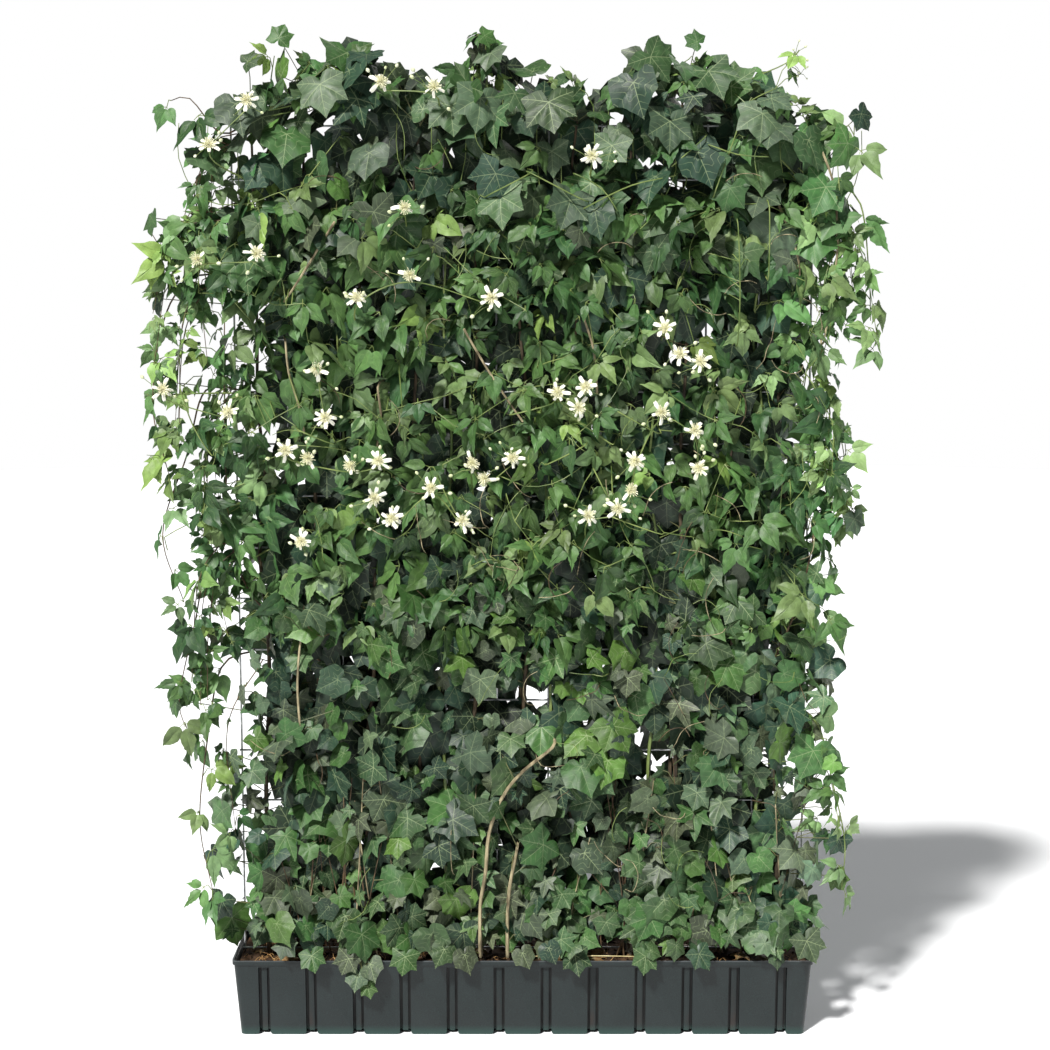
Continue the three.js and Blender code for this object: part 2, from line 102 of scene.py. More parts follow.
def startMaterial(name, roughness, specular=0.5, metallic=0.0):
    material = bpy.data.materials.new(name)
    material.use_nodes = True
    tree = material.node_tree
    surface = tree.nodes["Principled BSDF"]
    surface.inputs["Roughness"].default_value = roughness
    surface.inputs["Specular IOR Level"].default_value = specular
    surface.inputs["Metallic"].default_value = metallic
    return material, tree, surface


def mapRange(tree, value, fromLow, fromHigh, toLow, toHigh):
    inputs = {0: value, 1: fromLow, 2: fromHigh, 3: toLow, 4: toHigh}
    return addNode(tree, "MapRange", inputs).outputs[0]


def maths(tree, operation, one, other=0.5):
    return addNode(tree, "Math", {0: one, 1: other}, operation=operation).outputs[0]


def mixColours(tree, share, one, other, blend="MIX"):
    return addNode(tree, "Mix", {0: share, 6: one, 7: other}, data_type="RGBA", blend_type=blend).outputs[2]


def noiseOn(tree, scale, detail=3.0, stretch=(1, 1, 1)):
    place = addNode(tree, "TexCoord").outputs["Object"]
    if stretch != (1, 1, 1):
        place = addNode(tree, "Mapping", {"Vector": place, "Scale": stretch}).outputs[0]
    return addNode(tree, "TexNoise", {"Vector": place, "Scale": scale, "Detail": detail}).outputs[0]


def bumpFrom(tree, surface, height, strength, distance):
    bump = addNode(tree, "Bump", {"Height": height, "Strength": strength, "Distance": distance})
    tree.links.new(bump.outputs[0], surface.inputs["Normal"])


def addObject(name, data):
    made = bpy.data.objects.new(name, data)
    bpy.context.scene.collection.objects.link(made)
    return made


def selectOnly(*objects):
    bpy.ops.object.select_all(action="DESELECT")
    for each in objects:
        each.select_set(True)
    bpy.context.view_layer.objects.active = objects[0]


def selectFaces(piece, wanted):
    bpy.ops.object.mode_set(mode="OBJECT")
    for polygon in piece.data.polygons:
        polygon.select = wanted(polygon.center, polygon.normal)
    for edge in piece.data.edges:
        edge.select = False
    for vertex in piece.data.vertices:
        vertex.select = False
    bpy.ops.object.mode_set(mode="EDIT")
    bpy.ops.mesh.select_mode(type="FACE")


def deleteFaces(piece, wanted):
    selectFaces(piece, wanted)
    bpy.ops.mesh.delete(type="FACE")
    bpy.ops.mesh.select_all(action="SELECT")


def selectEdges(piece, wanted):
    bpy.ops.object.mode_set(mode="EDIT")
    bpy.ops.mesh.select_mode(type="EDGE")
    bpy.ops.mesh.select_all(action="DESELECT")
    bpy.ops.object.mode_set(mode="OBJECT")
    spots = [vertex.co for vertex in piece.data.vertices]
    for edge in piece.data.edges:
        edge.select = wanted(spots[edge.vertices[0]], spots[edge.vertices[1]])
    bpy.ops.object.mode_set(mode="EDIT")


def extrude(move):
    bpy.ops.mesh.extrude_region_move(TRANSFORM_OT_translate={"value": move})


# a face looks along an axis when its normal is this close to it
faceOn = 0.9
# points nearer than this count as one height
near = 1e-4
smoothAngle = 50


def finishPiece(piece, name, replaced, angle=smoothAngle):
    bpy.ops.object.mode_set(mode="OBJECT")
    selectOnly(piece)
    bpy.ops.object.transform_apply()
    bpy.ops.object.shade_smooth_by_angle(angle=math.radians(angle))
    piece.name = name
    piece.data.name = name
    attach(piece, "root")
    if replaced:
        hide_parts(*replaced)


# camera, light and floor
studio = {
    "cameraPlace": (0.005, -3.8, 1.5),
    "cameraPitch": 6.72,
    "cameraLens": 63.84,
    "sensorWidth": 36,
    "lightColour": (1.0, 0.98, 0.94),
    "keyTurn": (41, 0, -31),
    "keyStrength": 5.3,
    "keyAngle": 6,
    "fillTurn": (66, 0, 155),
    "fillStrength": 1.3,
    "fillAngle": 50,
    "skyColour": (0.90, 0.96, 1.0),
    "skyStrength": 0.125,
    "backdropStrength": 1.0,
    "floorColour": (0.93, 0.945, 0.98),
    "floorRadius": 14,
    "floorShade": 0.985,
}


def makeStudio():
    cameraData = bpy.data.cameras.new("studioCamera")
    cameraData.lens = studio["cameraLens"]
    cameraData.sensor_width = studio["sensorWidth"]
    camera = addObject("studioCamera", cameraData)
    camera.location = studio["cameraPlace"]
    camera.rotation_euler = (math.radians(90 - studio["cameraPitch"]), 0, 0)
    bpy.context.scene.camera = camera
    for name in ("key", "fill"):
        lightData = bpy.data.lights.new(name + "Light", "SUN")
        lightData.energy = studio[name + "Strength"]
        lightData.angle = math.radians(studio[name + "Angle"])
        lightData.color = studio["lightColour"]
        light = addObject(name + "Light", lightData)
        light.rotation_euler = [math.radians(turn) for turn in studio[name + "Turn"]]
    world = bpy.data.worlds.new("studioSky")
    world.use_nodes = True
    tree = world.node_tree
    sky = tree.nodes["Background"]
    sky.inputs["Color"].default_value = (*studio["skyColour"], 1)
    sky.inputs["Strength"].default_value = studio["skyStrength"]
    seen = addNode(tree, "Background", {"Color": (1, 1, 1, 1), "Strength": studio["backdropStrength"]})
    rays = addNode(tree, "LightPath").outputs["Is Camera Ray"]
    choose = addNode(tree, "MixShader", {0: rays, 1: sky.outputs[0], 2: seen.outputs[0]})
    tree.links.new(choose.outputs[0], tree.nodes["World Output"].inputs[0])
    bpy.context.scene.world = world
    bpy.context.scene.view_settings.view_transform = "Standard"


def makeFloor():
    bpy.ops.object.select_all(action="DESELECT")
    bpy.ops.mesh.primitive_circle_add(vertices=64, radius=studio["floorRadius"], fill_type="NGON")
    floor = bpy.context.object
    floor.name = "studioFloor"
    material, tree, surface = startMaterial("floorPaper", 0.8, 0.3)
    share = mapRange(tree, noiseOn(tree, 3, 3), 0.3, 0.7, 0, 1)
    pale = studio["floorColour"]
    colour = mixColours(tree, share, (*[c * studio["floorShade"] for c in pale], 1), (*pale, 1))
    tree.links.new(colour, surface.inputs["Base Color"])
    floor.data.materials.append(material)


makeStudio()
makeFloor()
print("studio made")

# materials
leafSkin = {
    "roughness": 0.52,
    "specular": 0.42,
    "wanderScale": 70,
    "mottleScale": 55,
    "mottle": (0.74, 1.24),
    "grainScale": 340,
    "veinDepth": -0.6,
    "bump": (0.4, 0.0008),
    "glossScale": 28,
    "gloss": (0.44, 0.62),
}
ivyVeins = {
    **leafSkin,
    "mainWidth": 0.013,
    "sideAlong": 1.0,
    "slant": 0.85,
    "wander": 0.08,
    "sidePairs": 6.0,
    "sideShare": 0.75,
    "sideFade": (0.02, 0.3),
    "veinPale": 0.75,
    "veinColour": linear(156, 172, 128),
}
clematisVeins = {
    **leafSkin,
    "mainWidth": 0.06,
    "sideAlong": 1.6,
    "slant": 0.5,
    "wander": 0.2,
    "sidePairs": 4.0,
    "sideShare": 0.3,
    "sideFade": (0.2, 1.1),
    "arcAt": 0.5,
    "arcWidth": 0.07,
    "arcShare": 0.5,
    "veinPale": 0.5,
    "veinColour": linear(150, 178, 110),
}


def leafMaterial(name, veins):
    material, tree, surface = startMaterial(name, veins["roughness"], veins["specular"])
    tint = addNode(tree, "VertexColor", layer_name="leafTint")
    spot = addNode(tree, "SeparateXYZ", {0: addNode(tree, "UVMap", uv_map="leafMap").outputs[0]})
    across, along = spot.outputs[0], spot.outputs[1]
    mainWidth = mapRange(tree, along, 0, 0.9, veins["mainWidth"], veins["mainWidth"] * 0.35)
    main = mapRange(tree, maths(tree, "DIVIDE", across, mainWidth), 0.4, 1.3, 1, 0)
    slanted = maths(tree, "MULTIPLY", across, veins["slant"])
    slanted = maths(tree, "SUBTRACT", maths(tree, "MULTIPLY", along, veins["sideAlong"]), slanted)
    wander = mapRange(tree, noiseOn(tree, veins["wanderScale"], 2), 0, 1, 0, veins["wander"])
    slanted = maths(tree, "ADD", slanted, wander)
    ladder = maths(tree, "PINGPONG", maths(tree, "MULTIPLY", slanted, veins["sidePairs"]))
    side = mapRange(tree, ladder, 0.0, 0.08, 1, 0)
    fade = mapRange(tree, across, *veins["sideFade"], veins["sideShare"], 0.0)
    side = maths(tree, "MULTIPLY", side, fade)
    if "arcAt" in veins:
        fromArc = maths(tree, "ABSOLUTE", maths(tree, "SUBTRACT", across, veins["arcAt"]))
        arc = mapRange(tree, fromArc, 0, veins["arcWidth"], veins["arcShare"], 0)
        side = maths(tree, "MAXIMUM", side, arc)
    vein = maths(tree, "MULTIPLY", maths(tree, "MAXIMUM", main, side), tint.outputs["Alpha"])
    mottle = mapRange(tree, noiseOn(tree, veins["mottleScale"], 4), 0.32, 0.68, *veins["mottle"])
    blade = mixColours(tree, 1.0, tint.outputs["Color"], mottle, "MULTIPLY")
    pale = mixColours(tree, veins["veinPale"], tint.outputs["Color"], (*veins["veinColour"], 1))
    tree.links.new(mixColours(tree, vein, blade, pale), surface.inputs["Base Color"])
    grain = noiseOn(tree, veins["grainScale"], 2)
    height = maths(tree, "ADD", maths(tree, "MULTIPLY", vein, veins["veinDepth"]), grain)
    bumpFrom(tree, surface, height, *veins["bump"])
    gloss = mapRange(tree, noiseOn(tree, veins["glossScale"], 3), 0.35, 0.65, *veins["gloss"])
    tree.links.new(gloss, surface.inputs["Roughness"])
    return material


# dark and light tone, roughness, specular, scale of the tones, scale and height of the bumps
looks = {
    "bark": ((92, 82, 60), (178, 166, 132), 0.8, 0.5, 90, 260, 0.6),
    "darkBark": ((38, 32, 24), (92, 78, 58), 0.85, 0.5, 90, 260, 0.6),
    "petiole": ((60, 72, 40), (104, 104, 62), 0.55, 0.5, 30, 300, 0.2),
    "vineGreen": ((80, 102, 48), (132, 148, 84), 0.5, 0.5, 24, 300, 0.2),
    "vineBrown": ((58, 44, 32), (104, 84, 58), 0.6, 0.5, 40, 300, 0.2),
    "petal": ((236, 236, 214), (252, 252, 244), 0.55, 0.5, 160, 700, 0.15),
    "stamen": ((228, 226, 184), (246, 244, 220), 0.6, 0.5, 200, 500, 0.1),
    "budGreen": ((196, 208, 150), (238, 240, 214), 0.5, 0.5, 120, 500, 0.15),
    "zinc": ((150, 154, 156), (214, 216, 216), 0.38, 0.5, 60, 220, 0.25),
    "soil": ((34, 24, 17), (84, 62, 44), 0.95, 0.2, 55, 180, 0.9),
    "scrap": ((120, 82, 48), (196, 158, 104), 0.85, 0.25, 90, 300, 0.4),
    "straw": ((176, 158, 104), (216, 204, 156), 0.6, 0.5, 60, 300, 0.2),
}
# the markings of bark run along the stem
barkStretch = (1, 1, 0.25)
bumpDistance = 0.001


def plainMaterial(name, dark, light, roughness, specular, toneScale, bumpScale, bump):
    # only the panel is metal
    metallic = 1.0 if name == "zinc" else 0.0
    stretch = barkStretch if "bark" in name.lower() else (1, 1, 1)
    material, tree, surface = startMaterial(name, roughness, specular, metallic)
    share = mapRange(tree, noiseOn(tree, toneScale, 4, stretch), 0.35, 0.65, 0, 1)
    colour = mixColours(tree, share, (*linear(*dark), 1), (*linear(*light), 1))
    tree.links.new(colour, surface.inputs["Base Color"])
    bumpFrom(tree, surface, noiseOn(tree, bumpScale, 3, stretch), bump, bumpDistance)
    return material


plasticTones = {
    "dark": (13, 21, 22),
    "light": (20, 29, 30),
    "fleck": (42, 58, 58),
    "dirt": (46, 32, 26),
    # near black in the grooves' slits: painted shade, where little light gets in
    "slit": (7, 9, 9),
    "foot": (34, 66, 60),
    # the lip's light grey: partly dust, partly a painted highlight along its top
    "dust": (112, 116, 120),
}
# the wall leans out by its slope. What lies deeper than the wall is in a groove
plastic = {
    "wallSlope": 0.0232,
    "wallAtFoot": 0.0862,
    "grooveEnd": 0.56,
    # depth in a groove from which its painted shade starts
    "slitDepth": (0.0035, 0.006),
    "streakBand": (0.03, 0.12),
    "footBand": (0.004, 0.020),
    # heights of the lip's top band, which is painted lighter: dust and a painted highlight
    "rimBand": (0.1575, 0.1597),
}


def plasticMaterial():
    material, tree, surface = startMaterial("troughPlastic", 0.46, 0.45)
    x, y, z = addNode(tree, "SeparateXYZ", {0: addNode(tree, "TexCoord").outputs["Object"]}).outputs
    colours = {name: (*linear(*tone), 1) for name, tone in plasticTones.items()}
    tone = mapRange(tree, noiseOn(tree, 9, 5), 0.35, 0.65, 0, 1)
    colour = mixColours(tree, tone, colours["dark"], colours["light"])
    flecks = mapRange(tree, noiseOn(tree, 700, 2), 0.42, 0.7, 0, 0.45)
    colour = mixColours(tree, flecks, colour, colours["fleck"])
    wallAt = maths(tree, "ADD", maths(tree, "MULTIPLY", z, plastic["wallSlope"]), plastic["wallAtFoot"])
    depth = maths(tree, "SUBTRACT", wallAt, maths(tree, "ABSOLUTE", y))
    recess = maths(tree, "LESS_THAN", maths(tree, "ABSOLUTE", x), plastic["grooveEnd"])
    recess = maths(tree, "MULTIPLY", recess, mapRange(tree, depth, 0, 0.003, 0, 1))
    # painted shade: the grooves' side walls and their deepest parts turn near black
    normal = addNode(tree, "SeparateXYZ", {0: addNode(tree, "TexCoord").outputs["Normal"]})
    sideways = mapRange(tree, maths(tree, "ABSOLUTE", normal.outputs[0]), 0.5, 0.9, 0, 1)
    slit = maths(tree, "MAXIMUM", sideways, mapRange(tree, depth, *plastic["slitDepth"], 0, 1))
    slit = maths(tree, "MULTIPLY", slit, recess)
    streaks = mapRange(tree, noiseOn(tree, 40, 4, (1, 1, 0.3)), 0.48, 0.66, 0, 0.8)
    streaks = maths(tree, "MULTIPLY", streaks, mapRange(tree, z, *plastic["streakBand"], 1, 0.25))
    colour = mixColours(tree, maths(tree, "MULTIPLY", recess, streaks), colour, colours["dirt"])
    colour = mixColours(tree, slit, colour, colours["slit"])
    colour = mixColours(tree, mapRange(tree, z, *plastic["footBand"], 0.75, 0), colour, colours["foot"])
    # painted highlight and dust: the top edge of the lip turns light grey
    rim = mapRange(tree, z, *plastic["rimBand"], 0, 0.5)
    rim = maths(tree, "MULTIPLY", rim, mapRange(tree, noiseOn(tree, 26, 4), 0.3, 0.7, 0.4, 1))
    colour = mixColours(tree, rim, colour, colours["dust"])
    tree.links.new(colour, surface.inputs["Base Color"])
    tree.links.new(mapRange(tree, noiseOn(tree, 14, 4), 0.3, 0.7, 0.4, 0.56), surface.inputs["Roughness"])
    bumpFrom(tree, surface, noiseOn(tree, 900, 2), 0.12, 0.0005)
    return material


materials = {name: plainMaterial(name, *look) for name, look in looks.items()}
materials["ivyLeaf"] = leafMaterial("ivyLeaf", ivyVeins)
materials["clematisLeaf"] = leafMaterial("clematisLeaf", clematisVeins)
materials["troughPlastic"] = plasticMaterial()
print("materials made:", len(materials))

# trough
trough = {
    "footWidth": 1.168,
    "footDepth": 0.180,
    "wallWidth": 1.1925,
    "wallDepth": 0.1931,
    "lipLow": 0.151,
    "top": 0.160,
    "lipReach": 0.0030,
    "corner": 0.012,
    "grooves": 12,
    "groovePitch": 0.097,
    "grooveHalf": 0.0115,
    "grooveDepth": 0.0135,
    "stripHalf": 0.0055,
    "stripRise": 0.0070,
    "notchHeight": 0.0065,
    "notchDepth": 0.028,
    "grooveTop": 0.1455,
    "panelCorner": 0.007,
    "wall": 0.0036,
    "edgeRound": 0.0014,
    "roundFrom": 32,
}


def addModifier(piece, name, kind, **settings):
    modifier = piece.modifiers.new(name, kind)
    for key, value in settings.items():
        setattr(modifier, key, value)


def grooveCentre(column):
    return (column - (trough["grooves"] - 1) / 2) * trough["groovePitch"]


def grooveNear(x):
    column = round(x / trough["groovePitch"] + (trough["grooves"] - 1) / 2)
    return grooveCentre(clamp(column, 0, trough["grooves"] - 1))


def inGroove(x, spare=0.0):
    return abs(x - grooveNear(x)) < trough["grooveHalf"] + spare


def inStrip(x):
    return abs(x - grooveNear(x)) < trough["stripHalf"]


# a block for each groove, to be cut out of the trough's foot
def makeNotches():
    blocks = []
    width, depth = 2 * trough["grooveHalf"] + 0.001, trough["notchDepth"] + 0.004
    for column in range(trough["grooves"]):
        for side in (-1, 1):
            y = side * (trough["footDepth"] / 2 - trough["notchDepth"] / 2 + 0.002)
            bpy.ops.mesh.primitive_cube_add(size=1, location=(grooveCentre(column), y, 0))
            block = bpy.context.object
            block.scale = (width, depth, 2 * trough["notchHeight"])
            blocks.append(block)
    selectOnly(*blocks)
    bpy.ops.object.transform_apply()
    bpy.ops.object.join()
    return bpy.context.object


def makeTrough():
    size = trough
    lipLow, grooveTop = size["lipLow"], size["grooveTop"]
    bpy.ops.object.select_all(action="DESELECT")
    bpy.ops.mesh.primitive_cube_add(size=1, location=(0, 0, lipLow / 2))
    piece = bpy.context.object
    piece.scale = (size["footWidth"], size["footDepth"], lipLow)
    bpy.ops.object.transform_apply()
    selectFaces(piece, lambda centre, normal: normal.z > faceOn)
    widen = (size["wallWidth"] / size["footWidth"], size["wallDepth"] / size["footDepth"], 1)
    bpy.ops.transform.resize(value=widen)
    selectEdges(piece, lambda a, b: abs(a.z - b.z) > lipLow / 2)
    bpy.ops.mesh.bevel(offset=size["corner"], segments=5, affect="EDGES")
    cuts = []
    for column in range(size["grooves"]):
        cuts += [((grooveCentre(column) + half, 0, 0), (1, 0, 0)) for half in
                 (-size["grooveHalf"], -size["stripHalf"], size["stripHalf"], size["grooveHalf"])]
    innerFace = size["footDepth"] / 2 - size["grooveDepth"]
    cuts += [((0, 0, grooveTop), (0, 0, 1))]
    cuts += [((0, y, 0), (0, 1, 0)) for y in (innerFace, -innerFace)]
    for place, facing in cuts:
        bpy.ops.mesh.select_all(action="SELECT")
        bpy.ops.mesh.bisect(plane_co=place, plane_no=facing)
    deleteFaces(piece, lambda c, n: n.z < -faceOn and inGroove(c.x) and abs(c.y) > innerFace)
    for side in (-1, 1):
        selectFaces(piece, lambda c, n: n.y * side > faceOn and inGroove(c.x) and c.z < grooveTop)
        extrude((0, -side * size["grooveDepth"], 0))
        selectFaces(piece, lambda c, n: n.y * side > faceOn and inStrip(c.x) and c.z < grooveTop)
        extrude((0, side * size["stripRise"], 0))
    deleteFaces(piece, lambda c, n: abs(c.z) < near and inGroove(c.x) and abs(c.y) > innerFace)
    bpy.ops.mesh.remove_doubles(threshold=2 * near)
    deleteFaces(piece, lambda c, n: n.z > faceOn and c.z > lipLow - 0.001)
    bpy.ops.mesh.normals_make_consistent(inside=False)

    def footCorner(a, b):
        low = abs(a.z) < near and abs(b.z) < near
        along = abs(a.x - b.x) < near and abs(a.y - b.y) > size["grooveDepth"] * 0.9
        outer = max(abs(a.y), abs(b.y)) > innerFace + 0.002
        return low and along and outer and inGroove(a.x, 0.001)

    selectEdges(piece, footCorner)
    bpy.ops.mesh.bevel(offset=size["panelCorner"], segments=4, affect="EDGES")
    # the lip: out a little, then up
    selectEdges(piece, lambda a, b: a.z > lipLow - near and b.z > lipLow - near)
    extrude((0, 0, 0))
    out = [(side + 2 * size["lipReach"]) / side for side in (size["wallWidth"], size["wallDepth"])]
    bpy.ops.transform.resize(value=(out[0], out[1], 1))
    extrude((0, 0, size["top"] - lipLow))
    bpy.ops.object.mode_set(mode="OBJECT")
    notches = makeNotches()
    addModifier(piece, "wall", "SOLIDIFY", thickness=size["wall"], offset=-1)
    addModifier(piece, "notches", "BOOLEAN", operation="DIFFERENCE", solver="EXACT", object=notches)
    addModifier(piece, "roundEdges", "BEVEL", width=size["edgeRound"], segments=3, limit_method="ANGLE",
                angle_limit=math.radians(size["roundFrom"]))
    selectOnly(piece)
    for name in ("wall", "notches", "roundEdges"):
        bpy.ops.object.modifier_apply(modifier=name)
    bpy.data.objects.remove(notches)
    piece.data.materials.append(materials["troughPlastic"])
    finishPiece(piece, "potTrough", ["trough"], 35)


makeTrough()
print("trough made")

# wire panel
panel = {"wireRadius": 0.0021, "columns": 12, "rows": 17, "pitch": 0.1064, "lowest": 0.155, "end": 0.004,
         "legs": (0, 4, 7, 11), "legFoot": 0.104, "sides": 10}
pitch = panel["pitch"]
panelHalf = (panel["columns"] - 1) * pitch / 2
panelTop = panel["lowest"] + (panel["rows"] - 1) * pitch


def makePanel():
    wires = []
    radius, end = panel["wireRadius"], panel["end"]

    def addWire(place, length, turn):
        bpy.ops.mesh.primitive_cylinder_add(vertices=panel["sides"], radius=radius, depth=length,
                                            location=place, rotation=(0, turn, 0))
        wires.append(bpy.context.object)

    high = panelTop + end
    for column in range(panel["columns"]):
        low = panel["legFoot"] if column in panel["legs"] else panel["lowest"] - end
        addWire((column * pitch - panelHalf, radius, (low + high) / 2), high - low, 0)
    for row in range(panel["rows"]):
        # a cross wire is pressed a little into the upright ones
        addWire((0, -radius * 0.9, panel["lowest"] + row * pitch), 2 * (panelHalf + end), math.pi / 2)
    selectOnly(*wires)
    bpy.ops.object.transform_apply()
    bpy.ops.object.join()
    piece = bpy.context.object
    piece.data.materials.append(materials["zinc"])
    finishPiece(piece, "panelWires", ["wire_panel"])


makePanel()
print("wire panel made")

# shapes that are modelled once and copied
shapes = {}


def leafBlank(name, count):
    bpy.ops.object.select_all(action="DESELECT")
    bpy.ops.mesh.primitive_circle_add(vertices=count, radius=1, fill_type="NGON")
    blank = bpy.context.object
    blank.name = name
    bpy.ops.object.mode_set(mode="EDIT")
    bpy.ops.mesh.select_mode(type="FACE")
    bpy.ops.mesh.select_all(action="SELECT")
    bpy.ops.mesh.inset(thickness=0.5)
    bpy.ops.mesh.poke()
    bpy.ops.mesh.select_mode(type="EDGE")
    bpy.ops.mesh.select_all(action="DESELECT")
    bpy.ops.mesh.select_non_manifold()
    bpy.ops.mesh.edge_face_add()
    bpy.ops.mesh.select_mode(type="FACE")
    bpy.ops.mesh.poke()
    bpy.ops.mesh.select_all(action="SELECT")
    bpy.ops.mesh.normals_make_consistent(inside=False)
    bpy.ops.object.mode_set(mode="OBJECT")
    return blank


def outlineFrom(polar):
    turned = [(math.radians(turn), reach) for turn, reach in polar]
    return [(reach * math.sin(turn), reach * math.cos(turn)) for turn, reach in turned]


# distance from the nearest main vein, and distance along it
def veinSpot(across, along, axes):
    best = None
    for turn in axes:
        angle = math.radians(turn)
        far = across * math.sin(angle) + along * math.cos(angle)
        off = abs(across * math.cos(angle) - along * math.sin(angle))
        if far >= 0 and (best is None or off < best[0]):
            best = (off, far)
    return best or (abs(across), 0)


def shapeLeaf(name, look, variant):
    half = look["half"]
    count = 2 * (len(half) - 1)
    blank = leafBlank(name, count)
    mesh = blank.data
    fronts = set()
    for polygon in mesh.polygons:
        if polygon.normal.z > 0:
            fronts.update(polygon.vertices)
    hub = Vector(look["hub"])
    spots = {}
    for vertex in mesh.vertices:
        turn = math.atan2(vertex.co.x, vertex.co.y)
        radius = vertex.co.xy.length
        step = round(abs(turn) / (2 * math.pi / count))
        side = -1 if turn < 0 else 1
        rim = Vector((side * half[step][0], half[step][1]))
        # no two sides alike, and a slightly wavy margin
        wave = noise.noise(Vector((rim.x * 3.1, rim.y * 3.1, variant * 7.7)))
        tooth = noise.noise(Vector((rim.x * 14, rim.y * 14, variant * 3.3)))
        edge = hub + (rim - hub) * (1 + look["uneven"] * (wave + 0.4 * tooth))
        share = 1.0 if radius > 0.9 else 0.5 if radius > 0.1 else 0.0
        spot = hub.lerp(edge, share)
        if look["axes"]:
            off, far = veinSpot(abs(spot.x), spot.y, look["axes"])
        else:
            # the veins of a plain leaflet bow out from its foot to its tip
            off, far = (share if abs(rim.x) > 0.001 else 0.0), spot.y
        height = look["rise"](spot.x, spot.y) + share * look["ripple"] * wave
        if 0 < share < 1:
            height += look["quilt"] * min(off / 0.1, 1)
        if vertex.index not in fronts:
            height -= look["thickness"]
        vertex.co = (spot.x, spot.y, height)
        spots[vertex.index] = (off, far)
    layer = mesh.uv_layers.new(name="leafMap")
    for loop in mesh.loops:
        layer.data[loop.index].uv = spots[loop.vertex_index]
    keepShape(name, blank)


# the modelled shape as arrays, ready to be copied. The object itself goes away
def keepShape(name, piece):
    mesh = piece.data
    coords = np.array([vertex.co[:] for vertex in mesh.vertices], np.float32)
    loopVertices = np.array([loop.vertex_index for loop in mesh.loops], np.int32)
    totals = np.array([polygon.loop_total for polygon in mesh.polygons], np.int32)
    fronts = np.repeat([polygon.normal.z > 0 for polygon in mesh.polygons], totals)
    uv = np.zeros((len(mesh.loops), 2), np.float32)
    if "leafMap" in mesh.uv_layers:
        uv = np.array([loop.uv[:] for loop in mesh.uv_layers["leafMap"].data], np.float32)
    shapes[name] = {"coords": coords, "loops": loopVertices, "totals": totals, "fronts": fronts, "uv": uv}
    bpy.data.objects.remove(piece)


ivyAxes = (0, 50, 114)
starIvy = [
    (0, 0.84), (6, 0.71), (13, 0.59), (21, 0.48), (30, 0.4), (38, 0.47), (45, 0.57), (50, 0.65), (56, 0.55),
    (64, 0.44), (74, 0.36), (86, 0.34), (98, 0.4), (107, 0.46), (114, 0.49), (122, 0.4), (134, 0.33),
    (148, 0.27), (163, 0.2), (180, 0.07),
]
broadIvy = [
    (0, 0.88), (5, 0.79), (11, 0.73), (18, 0.67), (25, 0.62), (32, 0.59), (39, 0.64), (45, 0.7), (50, 0.77),
    (55, 0.7), (63, 0.63), (72, 0.57), (83, 0.53), (94, 0.56), (105, 0.61), (114, 0.66), (121, 0.59),
    (133, 0.52), (147, 0.45), (162, 0.35), (180, 0.13),
]
heartIvy = [
    (0, 0.92), (6, 0.79), (13, 0.72), (21, 0.67), (30, 0.63), (39, 0.63), (47, 0.66), (54, 0.68),
    (62, 0.62), (72, 0.58), (84, 0.55), (96, 0.54), (108, 0.54), (118, 0.51), (132, 0.455), (147, 0.395),
    (161, 0.31), (172, 0.21), (180, 0.12),
]
plainIvy = [
    (0, 0.82), (17, 0.64), (34, 0.56), (50, 0.7), (72, 0.54), (94, 0.54), (114, 0.58), (146, 0.42),
    (180, 0.14),
]
ovateLeaflet = [
    (0, 1.02), (0.037, 0.94), (0.09, 0.85), (0.165, 0.74), (0.24, 0.6), (0.3, 0.45), (0.315, 0.3),
    (0.28, 0.16), (0.19, 0.06), (0.08, 0.01), (0, 0),
]
toothedLeaflet = [
    (0, 1.06), (0.04, 0.93), (0.11, 0.83), (0.1, 0.77), (0.2, 0.63), (0.19, 0.57), (0.275, 0.42),
    (0.26, 0.24), (0.19, 0.09), (0.08, 0.01), (0, 0),
]
petalOutline = [
    (0, 0.96), (0.1, 1.0), (0.165, 0.9), (0.185, 0.7), (0.15, 0.4), (0.075, 0.14), (0, 0),
]


def ivyRise(across, along):
    return -0.10 * max(along, 0) ** 2 - 0.10 * across ** 2


def leafletRise(across, along):
    return -0.12 * along ** 2 + 0.13 * abs(across)


def petalRise(across, along):
    return 0.10 * math.sin(along * 3) - 0.6 * across ** 2


ivyLook = {"hub": (0, 0), "axes": ivyAxes, "rise": ivyRise, "quilt": 0.022, "uneven": 0.09, "ripple": 0.08,
           "thickness": 0.024}
leafletLook = {**ivyLook, "hub": (0, 0.40), "axes": None, "rise": leafletRise, "quilt": 0.03, "uneven": 0.22,
               "ripple": 0.10}
leafShapes = {
    "starIvy": {**ivyLook, "half": outlineFrom(starIvy)},
    "broadIvy": {**ivyLook, "half": outlineFrom(broadIvy)},
    "heartIvy": {**ivyLook, "half": outlineFrom(heartIvy)},
    "plainIvy": {**ivyLook, "half": outlineFrom(plainIvy), "quilt": 0.03, "uneven": 0.12, "ripple": 0.10},
    "ovateLeaflet": {**leafletLook, "half": ovateLeaflet},
    "toothedLeaflet": {**leafletLook, "half": toothedLeaflet, "hub": (0, 0.42)},
    "petal": {**leafletLook, "half": petalOutline, "hub": (0, 0.55), "rise": petalRise, "quilt": 0.01,
              "uneven": 0.3, "thickness": 0.04},
}
variants = 3
for name, look in leafShapes.items():
    for variant in range(1, variants + 1):
        shapeLeaf(f"{name}{variant}", look, variant)


def variantOf(shape):
    return f"{shape}{int(draw(1, variants + 0.999))}"


def makeStamen():
    bpy.ops.object.select_all(action="DESELECT")
    bpy.ops.mesh.primitive_cone_add(vertices=3, radius1=0.035, radius2=0.06, depth=1, location=(0, 0.5, 0),
                                    rotation=(-math.pi / 2, 0, 0))
    stamen = bpy.context.object
    bpy.ops.object.transform_apply()
    keepShape("stamen", stamen)


